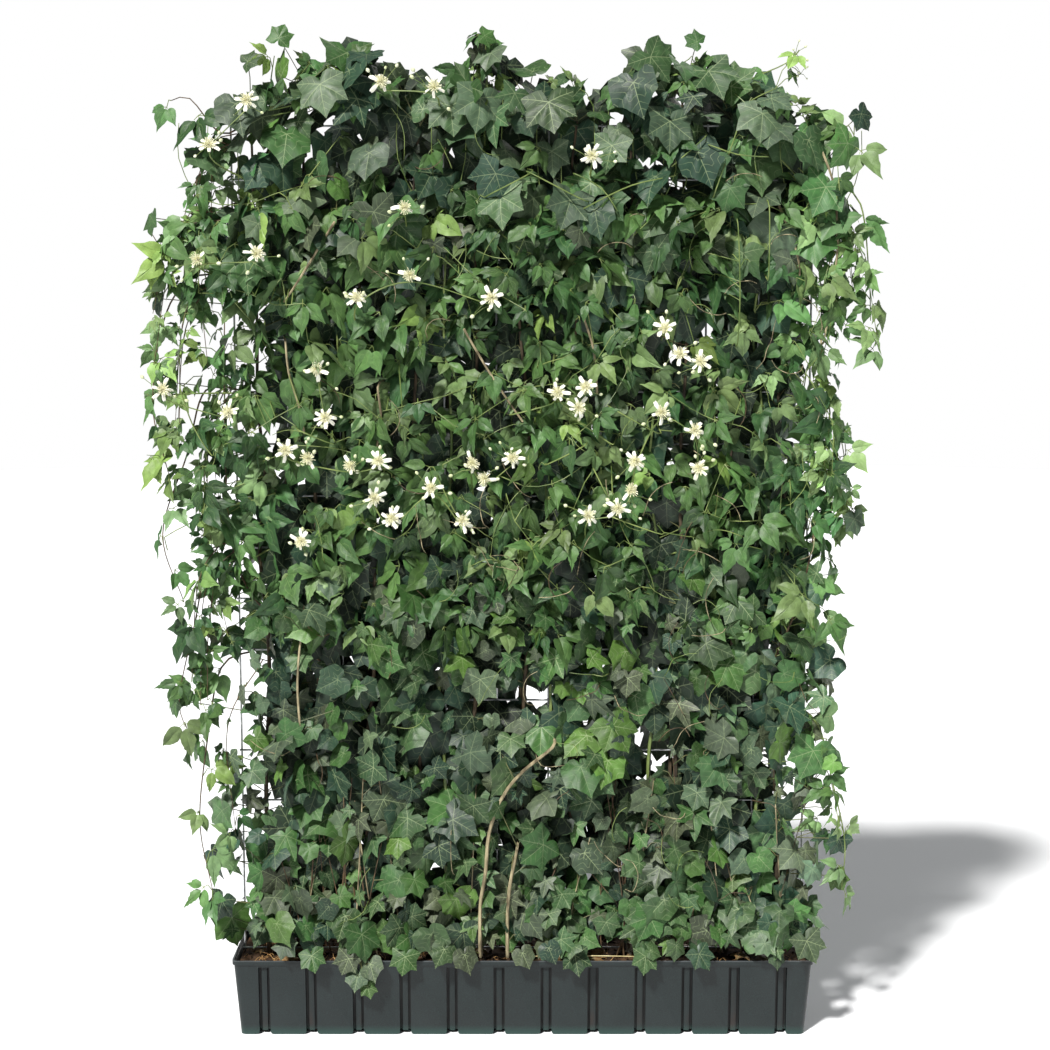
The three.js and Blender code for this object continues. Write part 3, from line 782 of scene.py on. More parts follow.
def makeBud():
    bpy.ops.object.select_all(action="DESELECT")
    bpy.ops.mesh.primitive_uv_sphere_add(segments=8, ring_count=6, radius=0.5, location=(0, 0.55, 0),
                                         rotation=(-math.pi / 2, 0, 0))
    bud = bpy.context.object
    bud.scale = (0.86, 0.86, 1.1)
    bpy.ops.object.transform_apply()
    for vertex in bud.data.vertices:
        pinch = max(vertex.co.y - 0.75, 0)
        vertex.co.x *= 1 - pinch
        vertex.co.z *= 1 - pinch
    keepShape("bud", bud)


def makeCrumb():
    bpy.ops.object.select_all(action="DESELECT")
    bpy.ops.mesh.primitive_ico_sphere_add(subdivisions=1, radius=0.5)
    crumb = bpy.context.object
    for vertex in crumb.data.vertices:
        vertex.co *= 1 + 0.35 * noise.noise(vertex.co * 3.1)
    crumb.scale = (1.0, 0.8, 0.6)
    bpy.ops.object.transform_apply(location=False, rotation=False, scale=True)
    keepShape("crumb", crumb)


makeStamen()
makeBud()
makeCrumb()
print("shapes made:", ", ".join(shapes))

# copies of the shapes, and strands


# world places of each copy's points. bend holds how it cups, folds, twists and droops
def pointsOfCopies(shape, copies):
    point, along, normal, bend = (np.array([copy[key] for copy in copies])
                                  for key in ("point", "along", "normal", "bend"))
    across = np.cross(along, normal)
    size = np.array([copy["size"] for copy in copies])[:, None, None]
    u, v, w = shape["coords"].T[:, None, :]
    cup, fold, twist, droop = bend.T[:, :, None]
    w = w + cup * u * u + fold * np.abs(u) + twist * u * v - droop * v * np.abs(v)
    local = u[..., None] * across[:, None] + v[..., None] * along[:, None] + w[..., None] * normal[:, None]
    return point[:, None] + size * local


# moves a copy that would leave the part's box back into it
def keepInside(copies, margin=0.0015):
    low = np.array(cadBox[0]) + margin
    high = np.array(cadBox[1]) - margin
    for name in {copy["shape"] for copy in copies}:
        group = [copy for copy in copies if copy["shape"] == name]
        coords = pointsOfCopies(shapes[name], group)
        shift = np.maximum(low - coords.min(1), 0) - np.maximum(coords.max(1) - high, 0)
        for copy, move in zip(group, shift):
            copy["point"] = copy["point"] + Vector(move)


# the backs of leaves are duller
backGain, backAdd = 0.75, (0.05, 0.065, 0.04)


# one mesh of all the copies. finishes names the material of each shape
def copyShapes(name, copies, finishes):
    slots = list(dict.fromkeys(finishes.values()))
    coords, loops, totals, uvs, tints, fills = [], [], [], [], [], []
    offset = 0
    for shapeName in dict.fromkeys(copy["shape"] for copy in copies):
        shape = shapes[shapeName]
        group = [copy for copy in copies if copy["shape"] == shapeName]
        steps = np.arange(len(group))[:, None] * len(shape["coords"])
        coords.append(pointsOfCopies(shape, group).reshape(-1, 3))
        loops.append((shape["loops"][None] + steps + offset).ravel())
        totals.append(np.tile(shape["totals"], len(group)))
        uvs.append(np.tile(shape["uv"], (len(group), 1)))
        tint = np.repeat(np.array([copy["tint"] for copy in group])[:, None], len(shape["loops"]), 1)
        back = ~shape["fronts"]
        tint[:, back, :3] = tint[:, back, :3] * backGain + np.array(backAdd)
        tints.append(tint.reshape(-1, 4))
        fills.append(np.full(len(totals[-1]), slots.index(finishes[shapeName])))
        offset += len(coords[-1])
    coords = np.concatenate(coords).astype(np.float32)
    loops = np.concatenate(loops).astype(np.int32)
    totals = np.concatenate(totals).astype(np.int32)
    mesh = bpy.data.meshes.new(name)
    mesh.vertices.add(len(coords))
    mesh.vertices.foreach_set("co", coords.ravel())
    mesh.loops.add(len(loops))
    mesh.loops.foreach_set("vertex_index", loops)
    mesh.polygons.add(len(totals))
    mesh.polygons.foreach_set("loop_start", (np.cumsum(totals) - totals).astype(np.int32))
    for slot in slots:
        mesh.materials.append(materials[slot])
    mesh.polygons.foreach_set("material_index", np.concatenate(fills).astype(np.int32))
    layer = mesh.uv_layers.new(name="leafMap")
    layer.data.foreach_set("uv", np.concatenate(uvs).astype(np.float32).ravel())
    layer = mesh.color_attributes.new(name="leafTint", type="FLOAT_COLOR", domain="CORNER")
    layer.data.foreach_set("color", np.concatenate(tints).astype(np.float32).ravel())
    mesh.update(calc_edges=True)
    return addObject(name, mesh)


def strand(points, radius, finish):
    return {"points": points, "radius": radius, "finish": finish}


# closed tubes along the strands, each with its radius at both ends
def drawStrands(name, strands, roundness):
    slots = list(dict.fromkeys(strand["finish"] for strand in strands))
    curve = bpy.data.curves.new(name, "CURVE")
    curve.dimensions = "3D"
    curve.bevel_depth = 1.0
    curve.bevel_resolution = roundness
    curve.use_fill_caps = True
    for slot in slots:
        curve.materials.append(materials[slot])
    for strand in strands:
        spline = curve.splines.new("POLY")
        points = strand["points"]
        spline.points.add(len(points) - 1)
        spline.material_index = slots.index(strand["finish"])
        for index, point in enumerate(points):
            share = index / (len(points) - 1)
            spline.points[index].co = (*point, 1)
            spline.points[index].radius = strand["radius"][0] * (1 - share) + strand["radius"][1] * share
    selectOnly(addObject(name, curve))
    bpy.ops.object.convert(target="MESH")
    return bpy.context.object


# more points along a smooth line through the given ones
def smoothRoute(points, step=0.02):
    spots = [Vector(point) for point in points]
    if len(spots) == 2:
        spots.insert(1, (spots[0] + spots[1]) / 2)
    ends = [spots[0] * 2 - spots[1], *spots, spots[-1] * 2 - spots[-2]]
    route = []
    for index in range(len(spots) - 1):
        a, b, c, d = ends[index:index + 4]
        count = max(1, round((c - b).length / step))
        for part in range(count):
            t = part / count
            bow = (c - a) * t + (2 * a - 5 * b + 4 * c - d) * t * t + (3 * b - a - 3 * c + d) * t ** 3
            route.append(b + bow / 2)
    route.append(spots[-1])
    return route


# plants: each has its stems, its leaves and the part's node that it stands for
plants = {}
# a leaf stalk can start from every one of these points along a stem
anchorStep = 0.012


def addPlant(name, kind, node):
    parts = {part: [] for part in ("strands", "twigs", "leaves", "hubs", "anchors")}
    plants[name] = {"name": name, "kind": kind, "node": node, **parts}
    return plants[name]


def addStem(plant, points, radius, finish, step=0.03):
    route = smoothRoute(points, step)
    plant["strands"].append(strand(route, radius, finish))
    plant["anchors"] += smoothRoute(points, anchorStep)
    return route


climb = {"foot": 0.102, "spacing": 0.150, "sway": 0.014, "tipSway": 0.010, "off": (-0.002, 0.005),
         "tipOff": 0.004}


# the same wandering line as the stem in the part's source
def climbingStem(x, y, top):
    foot, spacing = climb["foot"], climb["spacing"]
    away = 1 if y > 0 else -1
    points = [(x, y, foot), (x, y, foot + spacing), (x, y, foot + 1.5 * spacing)]
    z = foot + 3 * spacing
    while z < top - spacing / 2:
        points.append((x + draw(-climb["sway"], climb["sway"]), y + away * draw(*climb["off"]), z))
        z += spacing
    points.append((x + draw(-climb["tipSway"], climb["tipSway"]), y + away * climb["tipOff"], top))
    return points


topHeights = [1.900, 1.990, 1.985, 1.915, 1.945, 1.965, 1.925, 1.945, 1.965, 1.920, 1.885]
underTop, backTop, backTopSpread, clematisTop = 0.06, 1.830, (-0.040, 0.060), 1.620
# the rows of climbers. off is how far a row stands off the panel, shift how far off the middle, in spacings
climbers = {
    "ivyFront": {"kind": "ivy", "node": "ivy_front_", "count": 11, "spacing": pitch, "shift": 0,
                 "off": -0.017, "radius": (0.0052, 0.0024), "finish": "darkBark"},
    "ivyBack": {"kind": "ivy", "node": "ivy_back_", "count": 7, "spacing": 0.158, "shift": 0,
                "off": 0.018, "radius": (0.0052, 0.0024), "finish": "darkBark"},
    "clematis": {"kind": "clematis", "node": "clematis_vine_", "count": 5, "spacing": 2 * pitch,
                 "shift": 0.25, "off": -0.015, "radius": (0.0042, 0.0022), "finish": "vineGreen"},
}
for name, row in climbers.items():
    for column in range(row["count"]):
        plant = addPlant(f"{name}{column + 1}", row["kind"], f"{row['node']}{column + 1}")
        if name == "ivyFront":
            top = topHeights[column] - underTop
        elif name == "ivyBack":
            top = backTop + draw(*backTopSpread)
        else:
            top = clematisTop
        x = (column - row["count"] // 2 + row["shift"]) * row["spacing"]
        addStem(plant, climbingStem(x, row["off"], top), row["radius"], row["finish"])
clematisVines = [plants[f"clematis{number}"] for number in range(1, climbers["clematis"]["count"] + 1)]

# the outermost clematis vines send a branch up along each end of the panel
endBranches = {
    "clematis1": [(-0.372, -0.020, 0.74), (-0.49, -0.042, 0.84), (-0.588, -0.040, 1.00),
                  (-0.600, -0.044, 1.36), (-0.585, -0.040, 1.74)],
    "clematis5": [(0.479, -0.020, 0.70), (0.55, -0.042, 0.86), (0.592, -0.040, 1.04),
                  (0.602, -0.044, 1.34), (0.590, -0.040, 1.72)],
}
for name, points in endBranches.items():
    addStem(plants[name], points, (0.0022, 0.0010), "vineBrown")


# the climber of a row that stands nearest
def climberAt(name, x):
    row = climbers[name]
    number = round(x / row["spacing"] - row["shift"]) + row["count"] // 2 + 1
    return plants[f"{name}{clamp(number, 1, row['count'])}"]


def ivyFor(x, side=-1):
    return climberAt("ivyFront" if side < 0 else "ivyBack", x)


def clematisFor(x):
    return climberAt("clematis", x)


# leaf tints in daylight, old to young, and shadeIvy, darker as painted shade
tints = {
    "oldIvy": linear(58, 84, 50),
    "greyIvy": linear(70, 88, 64),
    "tealIvy": linear(38, 62, 45),
    "midIvy": linear(56, 90, 44),
    "bronzeIvy": linear(68, 78, 58),
    "youngIvy": linear(74, 107, 46),
    # painted shade: a dark tint for leaves that lie deep inside the hedge
    "shadeIvy": linear(26, 42, 27),
    "deepClematis": linear(48, 80, 42),
    "clematis": linear(70, 102, 53),
    "paleClematis": linear(98, 122, 74),
    "youngClematis": linear(108, 136, 68),
    "dry": linear(120, 92, 58),
}


endsFrom, endsSpan = 0.42, 0.16


# 0 over the middle of the hedge, 1 at its ends
def endShare(x):
    return clamp((abs(x) - endsFrom) / endsSpan, 0, 1)


# leaves near the ends of the hedge are lighter, most of all at the right
def paler(tint, x):
    gain = 1 + endShare(x) * (0.60 if x > 0 else 0.26)
    dust = 0.15 * endShare(x)
    return (tint[0] * gain, tint[1] * gain, tint[2] * (gain + dust), tint[3])


def tintOf(weights, veins):
    red, green, blue = tints[pick(weights)]
    light = draw(0.62, 1.3)
    warm = draw(0.92, 1.08)
    return (red * light * warm, green * light, blue * light / warm, draw(*veins))


def facing(side, tilt, yaw):
    tilt, yaw = math.radians(tilt), math.radians(yaw)
    return Vector((math.sin(yaw) * math.cos(tilt), side * math.cos(yaw) * math.cos(tilt), math.sin(tilt)))


def hanging(normal, roll):
    down = Vector((0, 0, -1))
    along = (down - normal * down.dot(normal)).normalized()
    return Quaternion(normal, math.radians(roll)) @ along


# how far a leaf cups, folds, twists and droops
ivyBend = ((-0.45, 0.35), (-0.02, 0.12), (-0.35, 0.35), (-0.02, 0.28))
leafletBend = ((-0.3, 0.5), (-0.05, 0.22), (-0.3, 0.3), (-0.05, 0.28))
rimBend = ((-0.3, 0.2), (0, 0.1), (-0.2, 0.2), (-0.12, 0.0))
dryBend = ((-1.5, -0.3), (0.1, 0.5), (-0.8, 0.8), (-0.6, 0.6))
plainTint = (1, 1, 1, 1)
still = (0, 0, 0, 0)


def addCopy(copies, shape, point, normal, along, size, tint=plainTint, bend=still, stalk=False):
    copies.append({"shape": shape, "point": Vector(point), "normal": normal, "along": along, "size": size,
                   "tint": tint, "bend": bend, "stalk": stalk})


def addLeaf(plant, shape, point, normal, along, size, tint, bend=None):
    bend = bend or drawEach(ivyBend)
    addCopy(plant["leaves"], variantOf(shape), point, normal, along, size, tint, bend, stalk=True)


leaflet = {"spread": (52, 72), "sideSize": 0.82, "tip": (-22, 22), "stalk": (0.10, 0.2), "sag": -0.25,
           "shade": (0.9, 1.12), "length": (0.88, 1.1), "stalkRadius": (0.0008, 0.0006)}


# a clematis leaf: one leaflet ahead and one to each side, on short stalks from one point
def addThreeLeaflets(plant, point, normal, along, size, tint):
    point = Vector(point)
    turns = (0, draw(*leaflet["spread"]), -draw(*leaflet["spread"]))
    for turn in turns:
        direction = Quaternion(normal, math.radians(turn)) @ along
        tip = Quaternion(direction, math.radians(draw(*leaflet["tip"]))) @ normal
        foot = point + direction * size * draw(*leaflet["stalk"])
        ahead = (direction + Vector((0, 0, leaflet["sag"]))).normalized()
        ahead = (ahead - tip * ahead.dot(tip)).normalized()
        shade = draw(*leaflet["shade"])
        leafTint = (tint[0] * shade, tint[1] * shade, tint[2] * shade, tint[3])
        shape = "toothedLeaflet" if draw(0, 1) < 0.5 else "ovateLeaflet"
        bend = drawEach(leafletBend)
        shape = variantOf(shape)
        length = size * (leaflet["sideSize"] if turn else 1) * draw(*leaflet["length"])
        addCopy(plant["leaves"], shape, foot, tip, ahead, length, leafTint, bend)
        plant["twigs"].append(strand([point, foot], leaflet["stalkRadius"], "vineGreen"))
    plant["hubs"].append(point)


# a bud on a thin stalk that bows a little on its way from the foot
def addBud(copies, twigs, foot, place, size, bow, radius):
    grow = (place - foot).normalized()
    addCopy(copies, "bud", place, grow.orthogonal().normalized(), grow, size)
    twigs.append(strand([foot, foot.lerp(place, 0.5) + Vector(bow), place], radius, "vineGreen"))


# the part's blades on the front or the back, with their areas added up
def bladeFaces(side, standOut=0.038):
    corners = []
    for name, node in nodes.items():
        if not name.startswith(("ivy_", "clematis_")):
            continue
        mesh = node.data
        mesh.calc_loop_triangles()
        coords = np.array([vertex.co[:] for vertex in mesh.vertices])
        faces = np.array([face.vertices[:] for face in mesh.loop_triangles])
        corners.append(coords[faces])
    corners = np.concatenate(corners)
    normals = np.cross(corners[:, 1] - corners[:, 0], corners[:, 2] - corners[:, 0])
    areas = np.linalg.norm(normals, axis=1)
    outward = normals[:, 1] * side > areas * 0.35
    standing = corners[:, :, 1].mean(1) * side > standOut
    keep = outward & standing & (areas > 1e-6)
    return corners[keep], np.cumsum(areas[keep])


faces = {side: bladeFaces(side) for side in (-1, 1)}
crowds = {}
cell = 0.04


# true, and the place is taken, if no other leaf of the layer is nearer than the spacing
def roomFor(layer, x, z, spacing):
    crowd = crowds.setdefault(layer, {})
    reach = math.ceil(spacing / cell)
    column, row = math.floor(x / cell), math.floor(z / cell)
    for i in range(column - reach, column + reach + 1):
        for j in range(row - reach, row + reach + 1):
            for other in crowd.get((i, j), ()):
                if math.hypot(other[0] - x, other[1] - z) < spacing:
                    return False
    crowd.setdefault((column, row), []).append((x, z))
    return True


def spotOnBlades(side):
    corners, sums = faces[side]
    index = int(np.searchsorted(sums, draw(0, sums[-1])))
    a, b, c = corners[min(index, len(corners) - 1)]
    one, other = draw(0, 1), draw(0, 1)
    if one + other > 1:
        one, other = 1 - one, 1 - other
    return Vector(a + (b - a) * one + (c - a) * other)


# leaves near the ends of the hedge turn outwards
def sideYaw(x):
    return math.copysign(endShare(x) * draw(10, 60), x)


def topHeight(x):
    share = clamp(x / pitch + 5, 0, 10)
    left = min(int(share), 9)
    return topHeights[left] + (topHeights[left + 1] - topHeights[left]) * (share - left)


# the hedge's face stands out in tufts and falls back between them
tufts = {"scale": 8.5, "fineScale": 19}


def clump(x, z, side):
    large, fine = tufts["scale"], tufts["fineScale"]
    tuft = noise.noise(Vector((x * large, 2.7 * side, z * large)))
    return tuft + 0.5 * noise.noise(Vector((x * fine, 5.1 * side, z * fine)))


# small leaves are more common than large ones
def sizeOf(look):
    low, high = look["size"]
    return low + (high - low) * draw(0, 1) ** 1.4


foliage = {
    "topIvy": {
        "size": (0.046, 0.096), "tilt": (-8, 58), "yaw": 54, "roll": 55, "veins": (0.3, 0.75), "hang": 0.25,
        "shapes": {"broadIvy": 6, "heartIvy": 2, "starIvy": 1},
        "tints": {"greyIvy": 3, "oldIvy": 4, "tealIvy": 3.4, "midIvy": 2.4, "bronzeIvy": 0.6,
                  "youngIvy": 0.15},
    },
    "lowIvy": {
        "size": (0.03, 0.078), "tilt": (-14, 56), "yaw": 54, "roll": 75, "veins": (0.3, 0.85), "hang": 0.25,
        "shapes": {"starIvy": 3, "broadIvy": 5, "heartIvy": 2.5},
        "tints": {"oldIvy": 3.6, "greyIvy": 1.6, "midIvy": 3.4, "youngIvy": 1.0, "tealIvy": 1.6,
                  "bronzeIvy": 1.4},
    },
    # leaves deep inside, tinted dark as painted shade
    "innerIvy": {
        "size": (0.070, 0.098), "tilt": (-10, 30), "yaw": 54, "roll": 70, "veins": (0.2, 0.6), "hang": 0.25,
        "shapes": {"plainIvy": 1},
        "tints": {"shadeIvy": 3, "tealIvy": 2},
    },
    "backIvy": {
        "size": (0.056, 0.092), "tilt": (0, 36), "yaw": 54, "roll": 55, "veins": (0.4, 0.9), "hang": 0.25,
        "shapes": {"broadIvy": 4, "starIvy": 4, "heartIvy": 2},
        "tints": {"oldIvy": 4, "midIvy": 4, "tealIvy": 2, "greyIvy": 1.5, "youngIvy": 0.6},
    },
    "clematis": {
        "size": (0.040, 0.092), "tilt": (-10, 54), "yaw": 56, "roll": 80, "veins": (0.3, 0.9), "hang": 0.45,
        "tints": {"deepClematis": 4, "clematis": 5, "paleClematis": 1.6, "youngClematis": 0.3},
    },
    "endClematis": {
        "size": (0.024, 0.050), "tilt": (-5, 50), "yaw": 56, "roll": 85, "veins": (0.2, 0.7), "hang": 0.45,
        "tints": {"deepClematis": 1.5, "clematis": 4, "paleClematis": 2.5, "youngClematis": 0.5},
    },
    "topClematis": {
        "size": (0.036, 0.056), "tilt": (5, 45), "yaw": 56, "roll": 70, "veins": (0.2, 0.7), "hang": 0.45,
        "tints": {"deepClematis": 4.5, "clematis": 4, "paleClematis": 1.4, "youngClematis": 0.3},
    },
}
# leaves of the face hang no lower than this
rimHeight = 0.163
# near the crest, from this far under the top, leaves lean back
crestFrom, crestSpan, crestTilt = 0.14, 0.12, 45


def leafAt(spot, side, layer):
    look = foliage[layer["kind"]]
    ivy = layer["kind"].endswith("Ivy")
    tilt = draw(*look["tilt"])
    if ivy:
        crest = clamp((spot.z - topHeight(spot.x) + crestFrom) / crestSpan, 0, 1)
        tilt += crest * draw(0, crestTilt)
    normal = facing(side, tilt, draw(-look["yaw"], look["yaw"]) + sideYaw(spot.x))
    along = hanging(normal, draw(-look["roll"], look["roll"]))
    size = sizeOf(look)
    shape = pick(look["shapes"]) if ivy else ""
    point = Vector(spot) + Vector((0, -side * layer["depth"], 0)) - along * size * look["hang"]
    point.y += side * layer["swell"] * clump(spot.x, spot.z, side)
    tint = paler(tintOf(look["tints"], look["veins"]), spot.x)
    if ivy:
        point.z = max(point.z, rimHeight + size * 0.85)
        addLeaf(ivyFor(spot.x, side), shape, point, normal, along, size, tint)
    else:
        addThreeLeaflets(clematisFor(spot.x), point, normal, along, size, tint)


# each layer throws leaves until it is full, on the part's blades or on a level of its own, outermost first.
# depth is how far in it lies, swell how far it follows the tufts, thin the tuft below which it stays open
layerKeys = ("name", "kind", "band", "spacing", "depth", "swell", "thin", "level", "across")
layerRows = [
    ("frontTop", "topIvy", (1.60, 2.05), 0.052, 0.002, 0.030, -0.22),
    ("frontTopUnder", "topIvy", (1.56, 2.0), 0.070, 0.030, 0.012, -0.6),
    ("frontTopClematis", "topClematis", (1.56, 2.0), 0.066, 0.010, 0.030, -0.3),
    ("frontTopInner", "innerIvy", (1.56, 2.0), 0.050, 0.052, 0, -2),
    ("frontMiddle", "clematis", (0.86, 1.66), 0.044, 0.0, 0.034, -0.20),
    ("frontMiddleUnder", "clematis", (0.84, 1.66), 0.050, 0.022, 0.014, -0.5),
    ("frontMiddleIvy", "innerIvy", (0.84, 1.66), 0.047, 0.050, 0, -2),
    ("frontMiddleInner", "innerIvy", (0.98, 1.72), 0.074, 0.0, 0.010, -0.7, 0.012),
    ("frontLow", "lowIvy", (0.16, 0.93), 0.034, 0.0, 0.032, -0.22),
    ("frontLowUnder", "lowIvy", (0.16, 0.93), 0.044, 0.026, 0.012, -0.6),
    ("frontLowInner", "innerIvy", (0.20, 1.00), 0.052, 0.0, 0.010, -0.42, 0.034),
    ("behindWires", "innerIvy", (0.20, 1.00), 0.056, 0.0, 0.0, -0.32, -0.013),
    ("leftEnd", "endClematis", (0.86, 1.76), 0.036, 0.0, 0.030, -0.45, 0.040, (-0.655, -0.50)),
    ("rightEnd", "endClematis", (0.40, 1.70), 0.040, 0.0, 0.030, -0.45, 0.040, (0.53, 0.635)),
    ("backOuter", "backIvy", (0.16, 2.0), 0.054, 0.0, 0.010, -0.4),
    ("backUnder", "innerIvy", (0.16, 1.95), 0.062, 0.028, 0, -2),
]
throwsPerLeaf = 400
scatter = 0.016
raggedEdge = 0.05
# large leaves inside the hedge, tinted dark as painted shade, would show as a wall at its thin ends
innerEnds = (-0.50, 0.555)
# the photo shows a cross wire here, so no leaf of the front covers it
wireWindow = ((-0.175, 0.02), (0.657, 0.713))
# few leaves reach the left end low down
thinEnd = {"x": -0.56, "z": 0.86, "share": 0.8}


# every way in which a thrown leaf can miss, in this order
def missed(spot, side, layer):
    if layer["kind"] == "innerIvy" and not innerEnds[0] < spot.x < innerEnds[1]:
        return True
    ragged = draw(-raggedEdge, raggedEdge)
    if not layer["band"][0] < spot.z + ragged < layer["band"][1]:
        return True
    if clump(spot.x, spot.z, side) < layer["thin"]:
        return True
    (left, right), (low, high) = wireWindow
    if spot.y < 0 and left < spot.x < right and low < spot.z < high:
        return True
    if spot.x < thinEnd["x"] and spot.z < thinEnd["z"] and draw(0, 1) < thinEnd["share"]:
        return True
    return not roomFor(layer["name"], spot.x, spot.z, layer["spacing"])


for row in layerRows:
    layer = dict(zip(layerKeys, row))
    side = 1 if layer["name"].startswith("back") else -1
    placed = misses = 0
    while misses < throwsPerLeaf:
        misses += 1
        if "level" in layer:
            across = layer.get("across", innerEnds)
            spot = Vector((draw(*across), side * layer["level"], draw(*layer["band"])))
        else:
            spot = spotOnBlades(side)
            spot += Vector((draw(-scatter, scatter), 0, draw(-scatter, scatter)))
        if missed(spot, side, layer):
            continue
        leafAt(spot, side, layer)
        placed += 1
        misses = 0
    print("layer", layer["name"], placed, "leaves")

# dark leaves behind a gap under the top edge, in the painted shade tints of the inner leaves
topGap = [(-0.300, 1.868), (-0.262, 1.842), (-0.232, 1.874)]
for x, z in topGap:
    normal = facing(-1, draw(0, 20), draw(-30, 30))
    along = hanging(normal, draw(-60, 60))
    tint = tintOf(foliage["innerIvy"]["tints"], (0.2, 0.5))
    addLeaf(ivyFor(x), "plainIvy", (x, -0.03, z), normal, along, 0.078, tint)

# large leaves that stand out in the photo, listed one by one: x and z of the place, size and roll
heroLeaves = [
    (0.051, 1.869, 0.098, 12), (-0.082, 1.878, 0.094, -14), (0.217, 1.907, 0.1, 20),
    (-0.141, 1.865, 0.088, 6), (0.175, 1.792, 0.074, -10), (0.343, 1.773, 0.096, 24),
    (0.288, 1.834, 0.09, -8), (-0.043, 1.689, 0.088, 10), (0.094, 1.684, 0.084, -22),
    (0.142, 1.666, 0.08, 14), (-0.56, 1.868, 0.092, 10), (-0.3, 1.775, 0.086, 4), (0.47, 1.85, 0.09, -12),
    (-0.395, 1.905, 0.09, 16), (0.56, 1.8, 0.084, 22),
]
heroGain = 0.88
for x, z, size, roll in heroLeaves:
    normal = facing(-1, draw(10, 40), draw(-30, 30))
    tint = tintOf({"greyIvy": 2, "oldIvy": 2, "tealIvy": 1.6}, (0.5, 0.8))
    size *= heroGain
    place = (x, -draw(0.084, 0.096), z + size * 0.3)
    shape = pick({"broadIvy": 3, "heartIvy": 2})
    addLeaf(ivyFor(x), shape, place, normal, hanging(normal, roll), size, tint)

# single leaves that stand clear of the hedge, listed one by one: x and z, size, roll, yaw and tint
loneLeaves = [
    (-0.622, 0.262, 0.052, -14, -20, "tealIvy"), (0.668, 1.862, 0.046, 35, 30, "tealIvy"),
    (-0.478, 2.01, 0.04, 160, 0, "midIvy"), (-0.54, 1.965, 0.038, 120, -30, "oldIvy"),
    (0.276, 1.975, 0.046, 250, 25, "oldIvy"), (0.342, 2.003, 0.034, 240, 10, "midIvy"),
    (-0.738, 1.66, 0.046, 8, -62, "oldIvy"), (-0.725, 1.5, 0.046, 0, -60, "tealIvy"),
    (-0.722, 1.33, 0.06, 12, -35, "oldIvy"), (-0.712, 0.68, 0.044, -35, -55, "midIvy"),
    (0.67, 1.06, 0.044, 10, 30, "greyIvy"), (0.655, 0.392, 0.046, -30, 20, "tealIvy"),
    (0.65, 0.315, 0.04, 25, 10, "youngIvy"), (-0.075, 2.018, 0.034, 70, 20, "midIvy"),
]
for x, z, size, roll, yaw, tintName in loneLeaves:
    normal = facing(-1, draw(5, 25), yaw)
    tint = tintOf({tintName: 1}, (0.4, 0.8))
    place = (x, -draw(0.045, 0.07), z + size * 0.3)
    addLeaf(ivyFor(x), "broadIvy", place, normal, hanging(normal, roll), size, tint)

# leaves that stick up and out along the top edge, ivy and clematis
topEdge = {
    "count": 56, "across": (-0.60, 0.60), "off": (-0.01, 0.05), "rise": (-0.035, 0.014),
    "tilt": (-25, 60), "yaw": (-70, 70), "roll": (50, 310),
    "ivySize": (0.040, 0.072), "ivyTints": {"oldIvy": 2, "midIvy": 3, "greyIvy": 1, "youngIvy": 0.6},
    "leafletSize": (0.030, 0.048), "leafletTints": {"clematis": 3, "paleClematis": 2, "youngClematis": 1},
}
for index in range(topEdge["count"]):
    x = draw(*topEdge["across"])
    place = Vector((x, -draw(*topEdge["off"]), topHeight(x) + draw(*topEdge["rise"])))
    normal = facing(-1, draw(*topEdge["tilt"]), draw(*topEdge["yaw"]))
    along = hanging(normal, draw(*topEdge["roll"]))
    if index % 5 < 3:
        tint = tintOf(topEdge["ivyTints"], (0.5, 1.0))
        shape = pick({"broadIvy": 2, "heartIvy": 2})
        addLeaf(ivyFor(x), shape, place, normal, along, draw(*topEdge["ivySize"]), tint)
    else:
        tint = tintOf(topEdge["leafletTints"], (0.2, 0.6))
        addThreeLeaflets(clematisFor(x), place, normal, along, draw(*topEdge["leafletSize"]), tint)

# low leaves over the soil
foot = {"throws": 380, "across": (-0.56, 0.585), "spacing": 0.023, "tilt": (-5, 60), "yaw": (-55, 55),
        "off": (0.035, 0.094), "height": (0.205, 0.300), "size": (0.030, 0.068), "lowest": 0.150}
for index in range(foot["throws"]):
    x = draw(*foot["across"])
    if not roomFor("foot", x, draw(0.0, 0.08), foot["spacing"]):
        continue
    normal = facing(-1, draw(*foot["tilt"]), draw(*foot["yaw"]))
    place = (x, -draw(*foot["off"]), draw(*foot["height"]))
    size = min(draw(*foot["size"]), place[2] - foot["lowest"])
    tint = tintOf(foliage["lowIvy"]["tints"], (0.4, 0.9))
    shape = pick(foliage["lowIvy"]["shapes"])
    addLeaf(ivyFor(x), shape, place, normal, hanging(normal, draw(-60, 60)), size, tint)

# a runner that hangs over the rim
rimRunner = [(-0.372, -0.030, 0.300), (-0.352, -0.078, 0.240), (-0.338, -0.102, 0.190),
             (-0.332, -0.112, 0.166), (-0.325, -0.114, 0.118)]
addStem(ivyFor(-0.34), rimRunner, (0.0014, 0.0009), "petiole", 0.02)
# the leaves on it and beside it, listed one by one: x and z, size, roll and tint
rimLeaves = [
    (-0.356, 0.172, 0.044, -22, "bronzeIvy"), (-0.312, 0.16, 0.046, 26, "greyIvy"),
    (-0.338, 0.138, 0.042, -6, "greyIvy"), (-0.318, 0.112, 0.03, 12, "youngIvy"),
    (-0.432, 0.178, 0.044, 14, "midIvy"), (-0.24, 0.176, 0.048, -10, "midIvy"),
    (-0.118, 0.18, 0.048, 8, "bronzeIvy"), (0.107, 0.178, 0.052, 0, "oldIvy"),
    (0.252, 0.176, 0.046, -16, "oldIvy"), (0.362, 0.182, 0.046, 24, "tealIvy"),
    (0.52, 0.178, 0.034, -8, "greyIvy"), (0.582, 0.208, 0.058, 18, "greyIvy"),
    (-0.16, 0.192, 0.048, -28, "oldIvy"), (0.0, 0.184, 0.042, 20, "bronzeIvy"),
]
rimReach = 0.117
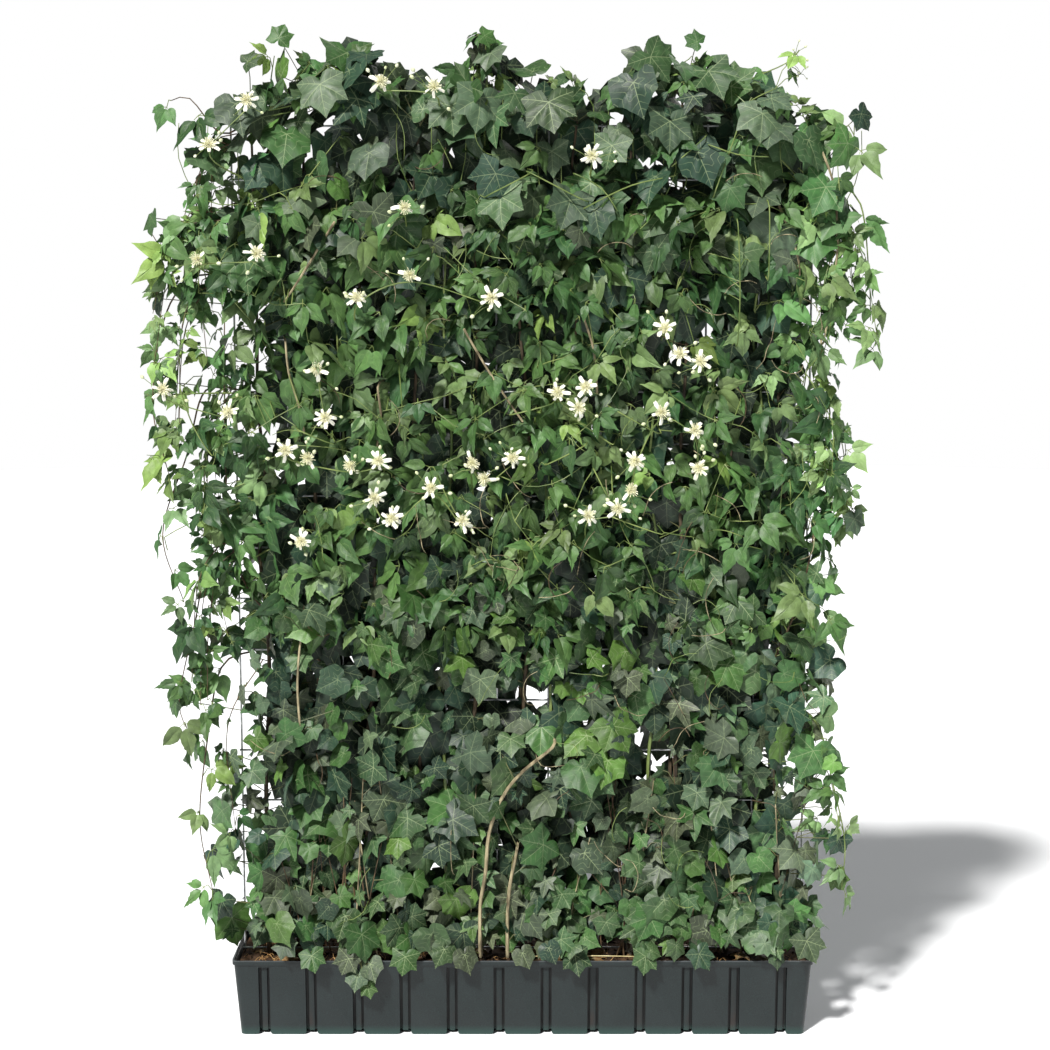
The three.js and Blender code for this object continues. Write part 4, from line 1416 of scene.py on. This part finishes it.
for x, z, size, roll, tintName in rimLeaves:
    normal = facing(-1, draw(16, 34), draw(-24, 24))
    bend = drawEach(rimBend)
    shape = pick({"broadIvy": 3, "heartIvy": 1})
    tint = tintOf({tintName: 1}, (0.6, 1.0))
    addLeaf(ivyFor(x), shape, (x, -rimReach, z), normal, hanging(normal, roll), size, tint, bend)

# loose shoots at the sides and along the top, as in the part's source
shoots = {
    "left_1": [(-0.6, -0.04, 1.84), (-0.655, -0.06, 1.905), (-0.69, -0.07, 1.9)],
    "left_2": [(-0.64, -0.05, 1.69), (-0.7, -0.06, 1.6), (-0.735, -0.06, 1.64)],
    "left_3": [(-0.65, -0.04, 1.56), (-0.715, -0.05, 1.48), (-0.745, -0.045, 1.3), (-0.715, -0.05, 1.16)],
    "left_4": [(-0.64, -0.03, 1.33), (-0.68, -0.035, 1.2), (-0.73, -0.05, 1.04), (-0.69, -0.05, 0.9)],
    "left_5": [(-0.63, -0.05, 1.01), (-0.665, -0.07, 0.86), (-0.7, -0.07, 0.7), (-0.68, -0.06, 0.62)],
    "left_6": [(-0.62, -0.03, 0.76), (-0.65, -0.05, 0.6), (-0.665, -0.06, 0.44), (-0.64, -0.07, 0.3)],
    "right_1": [(0.6, -0.04, 1.77), (0.65, -0.05, 1.8), (0.655, -0.06, 1.86)],
    "right_2": [(0.62, -0.04, 1.74), (0.67, -0.06, 1.7), (0.69, -0.06, 1.56), (0.695, -0.06, 1.47)],
    "right_3": [(0.62, -0.03, 1.3), (0.61, -0.05, 1.18), (0.67, -0.05, 1.09)],
    "right_4": [(0.61, -0.03, 0.64), (0.64, -0.05, 0.52), (0.665, -0.06, 0.4), (0.66, -0.06, 0.3)],
    "top_1": [(-0.5, -0.03, 1.93), (-0.49, -0.04, 1.99)],
    "top_2": [(-0.07, -0.02, 1.95), (-0.075, -0.03, 2.04)],
    "top_3": [(0.25, -0.02, 1.93), (0.33, -0.03, 1.985)],
    "top_4": [(0.43, -0.02, 1.93), (0.52, -0.04, 1.975), (0.545, -0.05, 2.0)],
}


# square on the front of the nearest cross wire, then straight out
def onWire(x, z, reach):
    row = clamp(round((z - panel["lowest"]) / pitch), 0, panel["rows"] - 1)
    height = panel["lowest"] + row * pitch
    x = clamp(x, -panelHalf + 0.03, panelHalf - 0.03)
    return [(x, -0.0036, height), (x, -reach, height)]


shootFinish = {"left": "vineBrown", "right": "vineGreen", "top": "vineGreen"}
shootTints = {"clematis": 4, "paleClematis": 2.5, "youngClematis": 1, "deepClematis": 1.5}
shootLeaf = {"gap": 0.052, "thinGap": 0.036, "size": (0.040, 0.078), "topSize": (0.034, 0.055),
             "straySize": (0.45, 0.75), "smallerSize": 0.8}
stray = {"count": 4, "lowCount": 1, "lowUnder": 0.9, "swing": (0.02, 0.09), "drop": (0.10, 0.30),
         "reach": (-0.09, 0.02), "end": 0.735, "start": (0.84, 0.98), "rise": (-0.03, 0.03),
         "middleRise": (-0.03, 0.05), "out": (0, 0.03), "radius": (0.0014, 0.0007)}


# thinner shoots that fall from the foot of a shoot at the side
def addStrays(plant, points, finish):
    strays = []
    x, y, z = points[0]
    for index in range(stray["lowCount"] if z < stray["lowUnder"] else stray["count"]):
        swing, drop = draw(*stray["swing"]), draw(*stray["drop"])
        reach = math.copysign(min(abs(points[-1][0]) + draw(*stray["reach"]), stray["end"]), x)
        path = [(x * draw(*stray["start"]), y, z + draw(*stray["rise"])),
                ((x + reach) / 2, y - draw(*stray["out"]), z - drop / 2 + draw(*stray["middleRise"])),
                (reach, y - draw(*stray["out"]), z - drop - swing)]
        strays.append(addStem(plant, path, stray["radius"], finish, 0.02))
    return strays


for key, points in shoots.items():
    side, number = key.split("_")
    plant = addPlant(f"shoot-{side}{number}", "clematis", "shoot_" + key)
    start = onWire(points[0][0], points[0][2], 0.02)
    route = addStem(plant, [*start, *points], (0.0022, 0.0009), shootFinish[side], 0.02)
    atTop = side == "top"
    weights = {**shootTints, "paleClematis": 6} if side == "right" else shootTints
    paths = [route] if atTop else [route, *addStrays(plant, points, shootFinish[side])]
    for path in paths:
        gap = shootLeaf["thinGap" if atTop or path is not route else "gap"]
        walked, turn = 0.0, 1
        for step in range(2, len(path)):
            walked += (path[step] - path[step - 1]).length
            if walked < gap and step != len(path) - 1:
                continue
            walked, turn = 0.0 if atTop else draw(-0.03, 0.01), -turn
            normal = facing(-1, draw(0, 45), draw(-60, 60) + sideYaw(path[step].x) * 0.5)
            along = hanging(normal, turn * draw(15, 80))
            size = draw(*shootLeaf["topSize" if atTop else "size"])
            if path is not route:
                size *= draw(*shootLeaf["straySize"])
            elif side != "left":
                size *= shootLeaf["smallerSize"]
            tint = paler(tintOf(weights, (0.2, 0.7)), path[step].x)
            addThreeLeaflets(plant, path[step] + along * size * 0.35, normal, along, size, tint)
print("shoots made")

# under the top leaves each clematis vine forks, and the forks reach the top edge
forkSpread = (-0.088, -0.030, 0.030, 0.088)
for plant in clematisVines:
    fork = plant["anchors"][-1]
    for spread in forkSpread:
        x = fork.x + spread + draw(-0.012, 0.012)
        points = [fork, (fork.x + spread * 0.6, -0.034, 1.70), (x, -0.044, 1.79),
                  (x, -0.034, topHeight(x) - 0.04)]
        addStem(plant, points, (0.0013, 0.0008), "vineGreen", 0.04)

# woody stems and green vines that show on the face of the hedge, listed one by one
woodyStems = [
    [(-0.087, 0.165), (-0.087, 0.271), (-0.076, 0.345), (-0.068, 0.429), (-0.041, 0.502), (0.0, 0.555),
     (0.061, 0.607)],
    [(-0.031, 0.165), (-0.031, 0.26), (-0.025, 0.324), (-0.012, 0.387)],
    [(-0.453, 0.64), (-0.458, 0.741), (-0.447, 0.843)],
    [(-0.437, 1.246), (-0.447, 1.3), (-0.467, 1.368), (-0.472, 1.427)],
    [(-0.3, 1.188), (-0.283, 1.268), (-0.289, 1.338)],
    [(0.149, 1.328), (0.143, 1.407), (0.125, 1.467)],
    [(-0.372, 1.663), (-0.424, 1.58), (-0.475, 1.505)],
    [(-0.113, 1.447), (-0.06, 1.358), (0.0, 1.27)],
    [(0.505, 1.7), (0.542, 1.61), (0.55, 1.56)],
    [(0.59, 1.8), (0.615, 1.732), (0.622, 1.652), (0.622, 1.586), (0.6, 1.427)],
]
greenVines = [
    [(0.426, 1.427), (0.429, 1.525), (0.423, 1.663)],
    [(0.485, 1.56), (0.484, 1.693)],
    [(-0.02, 1.285), (0.058, 1.306)],
    [(0.088, 1.286), (0.154, 1.242), (0.18, 1.225)],
    [(0.05, 1.186), (0.122, 1.222)],
    [(0.144, 1.172), (0.18, 1.102)],
    [(0.18, 1.08), (0.279, 1.045)],
    [(0.177, 1.298), (0.269, 1.248)],
    [(-0.168, 1.156), (-0.13, 1.082)],
    [(-0.069, 1.714), (0.016, 1.758)],
    [(0.016, 1.758), (0.124, 1.704)],
    [(0.104, 1.756), (0.155, 1.728), (0.186, 1.685)],
    [(0.126, 1.692), (0.214, 1.734), (0.299, 1.753)],
    [(0.294, 1.772), (0.356, 1.826)],
    [(-0.68, 1.338), (-0.655, 1.26), (-0.619, 1.204)],
    [(-0.447, 1.254), (-0.377, 1.226)],
    [(0.366, 1.812), (0.421, 1.794), (0.481, 1.789)],
]
faceReach, woodReach, footReach = 0.098, 0.076, 0.088


# a route on the hedge's face, with both ends bent in under the leaves
def onFace(route, reach):
    first, last = route[0], route[-1]
    points = [(first[0], -reach * 0.45, first[1])]
    points += [(x, -reach + draw(-0.004, 0.004), z) for x, z in route]
    points.append((last[0] + draw(-0.01, 0.01), -reach * 0.45, last[1] + 0.012))
    return points


for route in woodyStems:
    low = route[0][1] < 0.2
    radius = 0.0040 if low else 0.0026
    points = onFace(route, footReach if low else woodReach)
    addStem(ivyFor(route[0][0]), points, (radius, radius * 0.8), "bark", 0.02)
for route in greenVines:
    addStem(clematisFor(route[0][0]), onFace(route, faceReach), (0.0015, 0.0011), "vineGreen", 0.02)

# more vines that wander over the middle of the face, drawn at random, with a leaf at every other step
wander = {"vines": 8, "aside": (-0.14, 0.14), "height": (0.92, 1.72), "heading": (-60, 240), "steps": 4,
          "turn": 0.5, "stride": 0.055, "ends": (-0.64, 0.62), "reach": (0.066, 0.100),
          "leaf": (0.040, 0.070)}
for plant in clematisVines:
    middle = plant["anchors"][len(plant["anchors"]) // 2].x
    for vine in range(wander["vines"]):
        x, z = middle + draw(*wander["aside"]), draw(*wander["height"])
        heading = math.radians(draw(*wander["heading"]))
        points = [(x, -0.03, z - 0.03), (x, -0.06, z)]
        for step in range(wander["steps"]):
            heading += draw(-wander["turn"], wander["turn"])
            x += math.cos(heading) * wander["stride"]
            z += math.sin(heading) * wander["stride"]
            x = clamp(x, *wander["ends"])
            points.append((x, -draw(*wander["reach"]), z))
            if step % 2:
                normal = facing(-1, draw(0, 50), draw(-50, 50))
                tint = tintOf(foliage["clematis"]["tints"], (0.3, 0.8))
                along = hanging(normal, draw(-80, 80))
                addThreeLeaflets(plant, points[-1], normal, along, draw(*wander["leaf"]), tint)
        addStem(plant, points, (0.0012, 0.0007), "vineGreen")

# thin twigs that curl out between the leaves, mostly low down and at the right
twig = {"count": 110, "across": (0.25, 0.60), "low": (0.25, 1.15), "high": (0.9, 1.9), "curl": (-0.6, 0.6),
        "steps": 5, "stride": 0.017, "climb": 0.004, "end": 0.68, "reach": (0.080, 0.104)}
for index in range(twig["count"]):
    side = 1 if index % 3 == 0 else draw(-1, 1)
    x = side * draw(*twig["across"])
    z = draw(*twig["low"]) if index % 2 else draw(*twig["high"])
    heading, curl = math.radians(draw(0, 360)), draw(*twig["curl"])
    points = [(x, -0.05, z)]
    for step in range(twig["steps"]):
        heading += curl
        x = clamp(x + math.cos(heading) * twig["stride"], -twig["end"], twig["end"])
        z += math.sin(heading) * twig["stride"] + twig["climb"]
        points.append((x, -draw(*twig["reach"]), z))
    ivy = z < 0.9 or draw(0, 1) < 0.3
    plant = ivyFor(x) if ivy else clematisFor(x)
    finish = pick({"vineGreen": 3, "bark": 2, "vineBrown": 1})
    plant["strands"].append(strand(smoothRoute(points, 0.01), (0.0010, 0.0006), finish))

# bare brown stems that show in the dark gaps at the foot
bare = {"count": 34, "across": (-0.55, 0.56), "top": (0.28, 0.62), "footOff": (0.02, 0.05), "foot": 0.142,
        "sway": (-0.02, 0.02), "off": (0.04, 0.068), "middle": 0.24, "topSway": (-0.06, 0.06),
        "topOff": 0.045, "radius": (0.0010, 0.0024), "thin": 0.6,
        "finishes": {"bark": 3, "vineBrown": 3, "darkBark": 1}}
for index in range(bare["count"]):
    x, top = draw(*bare["across"]), draw(*bare["top"])
    points = [(x, -draw(*bare["footOff"]), bare["foot"]),
              (x + draw(*bare["sway"]), -draw(*bare["off"]), bare["middle"]),
              (x + draw(*bare["topSway"]), -bare["topOff"], top)]
    radius = draw(*bare["radius"])
    addStem(ivyFor(x), points, (radius, radius * bare["thin"]), pick(bare["finishes"]), 0.04)

# a tall spray of small buds above the top edge, on the right
budStalk = [(0.371, -0.060, 1.690), (0.381, -0.092, 1.730), (0.408, -0.090, 1.805), (0.425, -0.080, 1.853),
            (0.442, -0.070, 1.892), (0.465, -0.065, 1.909), (0.498, -0.060, 1.924)]
budTips = [(0.536, 1.987), (0.548, 1.953)]
budCluster = ((-0.026, 0.026), (-0.014, 0.014), (-0.014, 0.030))
budPlant = clematisFor(0.40)
addStem(budPlant, budStalk, (0.0016, 0.0011), "vineGreen", 0.015)
for x, z in budTips:
    fork, end = Vector(budStalk[-1]), Vector((x, -0.055, z))
    middle = fork.lerp(end, 0.5) + Vector((-0.006, 0, 0.004))
    budPlant["twigs"].append(strand([fork, middle, end], (0.0010, 0.0008), "vineGreen"))
    for index in range(7):
        place = end + Vector(drawEach(budCluster))
        addBud(budPlant["leaves"], budPlant["twigs"], end, place, draw(0.004, 0.0065), (0, 0, 0.003),
               (0.0006, 0.0005))
print("stems on the face made")

# leaf stalks reach back to the nearest stem of their plant: a long one goes in behind the leaves first
longStalk = 0.055
stalkRadius = (0.0008, 0.0011)


def addStalks(plant):
    anchors = np.array([point[:] for point in plant["anchors"]])
    finish = "petiole" if plant["kind"] == "ivy" else "vineGreen"
    stalked = [leaf for leaf in plant["leaves"] if leaf["stalk"]]
    starts = [leaf["point"] - leaf["normal"] * leaf["size"] * 0.02 for leaf in stalked]
    for start in starts + plant["hubs"]:
        wish = np.array(start + Vector((0, 0, -0.02)))
        end = Vector(anchors[np.argmin(((anchors - wish) ** 2).sum(1))])
        middle = start.lerp(end, 0.45) + Vector((0, 0, 0.008))
        if (end - start).length > longStalk:
            middle = start.lerp(end, 0.2)
            middle.y = start.y * 0.3 + end.y * 0.7
        plant["twigs"].append(strand([start, middle, end], stalkRadius, finish))


def joinPieces(pieces, name, replaced, angle=smoothAngle):
    selectOnly(*pieces)
    bpy.ops.object.join()
    finishPiece(pieces[0], name, replaced, angle)
    return sum(polygon.loop_total - 2 for polygon in pieces[0].data.polygons)


allTriangles = 0
for plant in plants.values():
    name, kind, leaves = plant["name"], plant["kind"], plant["leaves"]
    keepInside(leaves)
    addStalks(plant)
    finishes = {leaf["shape"]: "budGreen" if leaf["shape"] == "bud" else kind + "Leaf" for leaf in leaves}
    pieces = [copyShapes(name, leaves, finishes), drawStrands(name + "Stems", plant["strands"], 1),
              drawStrands(name + "Twigs", plant["twigs"], 0)]
    triangles = joinPieces(pieces, name, [plant["node"]])
    allTriangles += triangles
    print("plant", name, len(leaves), "blades", triangles, "triangles")
print("all plants:", allTriangles, "triangles")

# flower sprays, on the same places as in the part's source
sprays = [
    [(-0.61, 1.81), (-0.535, 1.895)],
    [(-0.635, 1.59), (-0.52, 1.6)],
    [(-0.17, 1.92), (-0.275, 1.93)],
    [(-0.23, 1.69)],
    [(-0.325, 1.515), (-0.22, 1.56), (-0.06, 1.515)],
    [(0.135, 1.79)],
    [(-0.71, 1.335), (-0.58, 1.29)],
    [(-0.405, 1.375), (-0.39, 1.28)],
    [(-0.47, 1.215), (-0.425, 1.2), (-0.34, 1.185), (-0.285, 1.195)],
    [(-0.44, 1.035)],
    [(-0.295, 1.12), (-0.26, 1.08), (-0.18, 1.14), (-0.12, 1.075)],
    [(-0.1, 1.19), (-0.075, 1.16), (-0.02, 1.2)],
    [(0.13, 1.085), (0.19, 1.1), (0.215, 1.135)],
    [(0.07, 1.33), (0.11, 1.3), (0.125, 1.34)],
    [(0.28, 1.455), (0.31, 1.405), (0.35, 1.39)],
    [(0.225, 1.195), (0.275, 1.29), (0.34, 1.255), (0.35, 1.18)],
]
bloom = {
    "reach": 0.112, "head": 0.122, "across": (-0.45, 0.45), "upwards": (-0.1, 0.6), "faded": 0.14,
    "petals": (5, 8), "petalLength": (0.017, 0.0255), "petalTurn": (-13, 13), "petalLift": (-25, 30),
    "petalRoll": (-18, 18), "stamens": 54, "stamenLength": (0.010, 0.0175), "stamenSpread": 76,
    "buds": 3, "budSize": (0.0065, 0.0095), "budPlace": ((-0.042, 0.042), (0.0, 0.016), (-0.040, 0.032)),
}
# each stamen turns on by the golden angle
stamenTurn = 137.5


# a direction that leans from a bloom's axis by 90 degrees less the lift
def around(normal, turn, lift):
    start = normal.orthogonal().normalized()
    flat = Quaternion(normal, math.radians(turn)) @ start
    return (flat * math.cos(math.radians(lift)) + normal * math.sin(math.radians(lift))).normalized()


def addBloom(places, centre, normal):
    count = int(draw(bloom["petals"][0], bloom["petals"][1] + 0.99))
    if draw(0, 1) < bloom["faded"]:
        count = 2
    start = draw(0, 360)
    for index in range(count):
        turn = start + index * 360 / count + draw(*bloom["petalTurn"])
        direction = around(normal, turn, draw(*bloom["petalLift"]))
        face = (normal - direction * normal.dot(direction)).normalized()
        face = Quaternion(direction, math.radians(draw(*bloom["petalRoll"]))) @ face
        bend = (draw(-0.5, 0.3), 0, draw(-0.2, 0.2), draw(-0.05, 0.25))
        shape, foot = variantOf("petal"), centre + direction * 0.0025
        addCopy(places, shape, foot, face, direction, draw(*bloom["petalLength"]), bend=bend)
    for index in range(bloom["stamens"]):
        lift = 90 - bloom["stamenSpread"] * math.sqrt((index + 0.5) / bloom["stamens"])
        direction = around(normal, index * stamenTurn, lift)
        addCopy(places, "stamen", centre, direction.orthogonal().normalized(), direction,
                draw(*bloom["stamenLength"]))


for number, spots in enumerate(sprays, 1):
    node = f"flower_spray_{number}"
    petals, buds, twigs = [], [], []
    route = onWire(spots[0][0], spots[0][1] - 0.04, 0.036)
    route += [(x, -bloom["reach"] + draw(-0.004, 0.004), z - 0.014) for x, z in spots]
    line = smoothRoute(route, 0.015)
    for x, z in spots:
        centre = Vector((x, -bloom["head"], z))
        outwards = Vector((draw(*bloom["across"]), -1, draw(*bloom["upwards"])))
        addBloom(petals, centre, outwards.normalized())
        start = min(line, key=lambda point: (point - centre).length)
        stalk = [start, start.lerp(centre, 0.6) + Vector((0, 0.004, -0.004)), centre]
        twigs.append(strand(smoothRoute(stalk, 0.01), (0.0009, 0.0008), "vineGreen"))
        for bud in range(bloom["buds"]):
            place = centre + Vector(drawEach(bloom["budPlace"]))
            addBud(buds, twigs, start, place, draw(*bloom["budSize"]), (0, -0.003, 0.004), (0.0007, 0.0006))
    keepInside(petals)
    keepInside(buds)
    heads = copyShapes(node, petals, {part["shape"]: part["shape"].rstrip("123") for part in petals})
    finishPiece(heads, f"blooms{number}", [node])
    pieces = [copyShapes(node + "buds", buds, {"bud": "budGreen"}),
              drawStrands(node + "stems", [strand(line, (0.0020, 0.0011), "vineGreen")], 1),
              drawStrands(node + "twigs", twigs, 0)]
    joinPieces(pieces, f"bloomStalks{number}", [node], 60)
print("flower sprays made:", len(sprays))

# soil
soil = {"top": 0.146, "bottom": 0.0085, "halfWidth": 0.5905, "halfDepth": 0.0915, "footShare": 0.945,
        "taperFrom": 0.555, "taper": 0.28, "grooveTop": 0.0785, "grooveFoot": 0.0725, "grooveSpare": 0.009,
        "columns": 220, "rows": 34, "lump": 0.0045, "lumpScale": 14, "grain": 0.0022, "grainScale": 95}


def soilHeight(x, y):
    lump = noise.noise(Vector((x * soil["lumpScale"], y * soil["lumpScale"], 3.1))) * soil["lump"]
    grain = noise.noise(Vector((x * soil["grainScale"], y * soil["grainScale"], 7.7))) * soil["grain"]
    return soil["top"] + lump + grain


def makeSoil():
    bpy.ops.object.select_all(action="DESELECT")
    bpy.ops.mesh.primitive_grid_add(x_subdivisions=soil["columns"], y_subdivisions=soil["rows"], size=2)
    ground = bpy.context.object
    ground.scale = (soil["halfWidth"], soil["halfDepth"], 1)
    bpy.ops.object.transform_apply()
    bpy.ops.object.mode_set(mode="EDIT")
    bpy.ops.mesh.select_all(action="SELECT")
    extrude((0, 0, 1))
    bpy.ops.object.mode_set(mode="OBJECT")
    for vertex in ground.data.vertices:
        x, y, z = vertex.co
        atGroove = inGroove(x, soil["grooveSpare"])
        if z > 0.5:
            if atGroove and abs(y) > soil["grooveTop"]:
                y = math.copysign(soil["grooveTop"], y)
            vertex.co = (x, y, soilHeight(x, y))
        else:
            y = y * soil["footShare"]
            if atGroove and abs(y) > soil["grooveFoot"]:
                y = math.copysign(soil["grooveFoot"], y)
            x -= math.copysign(max(abs(x) - soil["taperFrom"], 0) * soil["taper"], x)
            vertex.co = (x, y, soil["bottom"])
    bpy.ops.object.mode_set(mode="EDIT")
    bpy.ops.mesh.select_all(action="SELECT")
    bpy.ops.mesh.normals_make_consistent(inside=False)
    bpy.ops.object.mode_set(mode="OBJECT")
    ground.data.materials.append(materials["soil"])
    finishPiece(ground, "potSoil", ["soil"], 60)


# an area is its span across and its span in depth
scraps = {
    "crumbs": 420, "crumbArea": ((-0.575, 0.575), (-0.084, 0.084)), "crumbSize": (0.003, 0.011),
    "lumpSize": (0.010, 0.018), "crumbSpare": 0.006, "grooveDepth": 0.07,
    "fibres": 260, "fibreArea": ((-0.57, 0.57), (-0.082, 0.082)),
    "leftArea": ((-0.57, -0.40), (-0.08, 0.05)),
    "fibreLength": (0.012, 0.045), "fibreEnds": (0.584, 0.086), "fibreTurn": (-0.6, 0.6),
    "fibreRise": (0.000, 0.012), "fibreRadius": (0.0007, 0.0004),
    "deadLeaves": 26, "deadArea": ((-0.56, 0.56), (-0.075, 0.06)), "deadSize": (0.03, 0.05),
    "deadRise": 0.008,
}


# crumbs, dry fibres, dead leaves and a straw on the soil
def makeScraps():
    crumbs, leaves, strands = [], [], []
    endX, endY = scraps["fibreEnds"]
    for index in range(scraps["crumbs"]):
        x, y = drawEach(scraps["crumbArea"])
        if inGroove(x, scraps["crumbSpare"]) and abs(y) > scraps["grooveDepth"]:
            continue
        size = draw(*scraps["crumbSize"]) if index % 5 else draw(*scraps["lumpSize"])
        normal = facing(-1, draw(0, 90), draw(-180, 180))
        place = (x, y, soilHeight(x, y) + size * 0.1)
        addCopy(crumbs, "crumb", place, normal, hanging(normal, draw(0, 360)), size)
    for index in range(scraps["fibres"]):
        # every third one lies at the left, where the soil shows most
        x, y = drawEach(scraps["fibreArea" if index % 3 else "leftArea"])
        length, turn = draw(*scraps["fibreLength"]), draw(0, 2 * math.pi)
        z = soilHeight(x, y)
        points = [Vector((x, y, z - 0.002))]
        for step in range(1, 4):
            turn += draw(*scraps["fibreTurn"])
            x = clamp(points[-1].x + math.cos(turn) * length / 3, -endX, endX)
            y = clamp(points[-1].y + math.sin(turn) * length / 3, -endY, endY)
            points.append(Vector((x, y, z + draw(*scraps["fibreRise"]))))
        strands.append(strand(smoothRoute(points, 0.006), scraps["fibreRadius"], "scrap"))
    for index in range(scraps["deadLeaves"]):
        x, y = drawEach(scraps["deadArea"])
        normal = facing(-1, draw(50, 88), draw(-60, 60))
        bend = drawEach(dryBend)
        shape = variantOf(pick({"starIvy": 2, "broadIvy": 2}))
        along, size = hanging(normal, draw(0, 360)), draw(*scraps["deadSize"])
        place = (x, y, soilHeight(x, y) + scraps["deadRise"])
        addCopy(leaves, shape, place, normal, along, size, tintOf({"dry": 1}, (0.3, 0.8)), bend)
    straw = [(0.010, -0.080, 0.163), (0.144, -0.086, 0.1665), (0.278, -0.080, 0.162)]
    strands.append(strand(smoothRoute(straw), (0.0016, 0.0010), "straw"))
    keepInside(leaves)
    pieces = [copyShapes("crumbs", crumbs, {"crumb": "soil"}),
              copyShapes("deadLeaves", leaves, {leaf["shape"]: "ivyLeaf" for leaf in leaves}),
              drawStrands("fibres", strands, 0)]
    joinPieces(pieces, "soilScraps", [])


makeSoil()
makeScraps()
print("soil made")
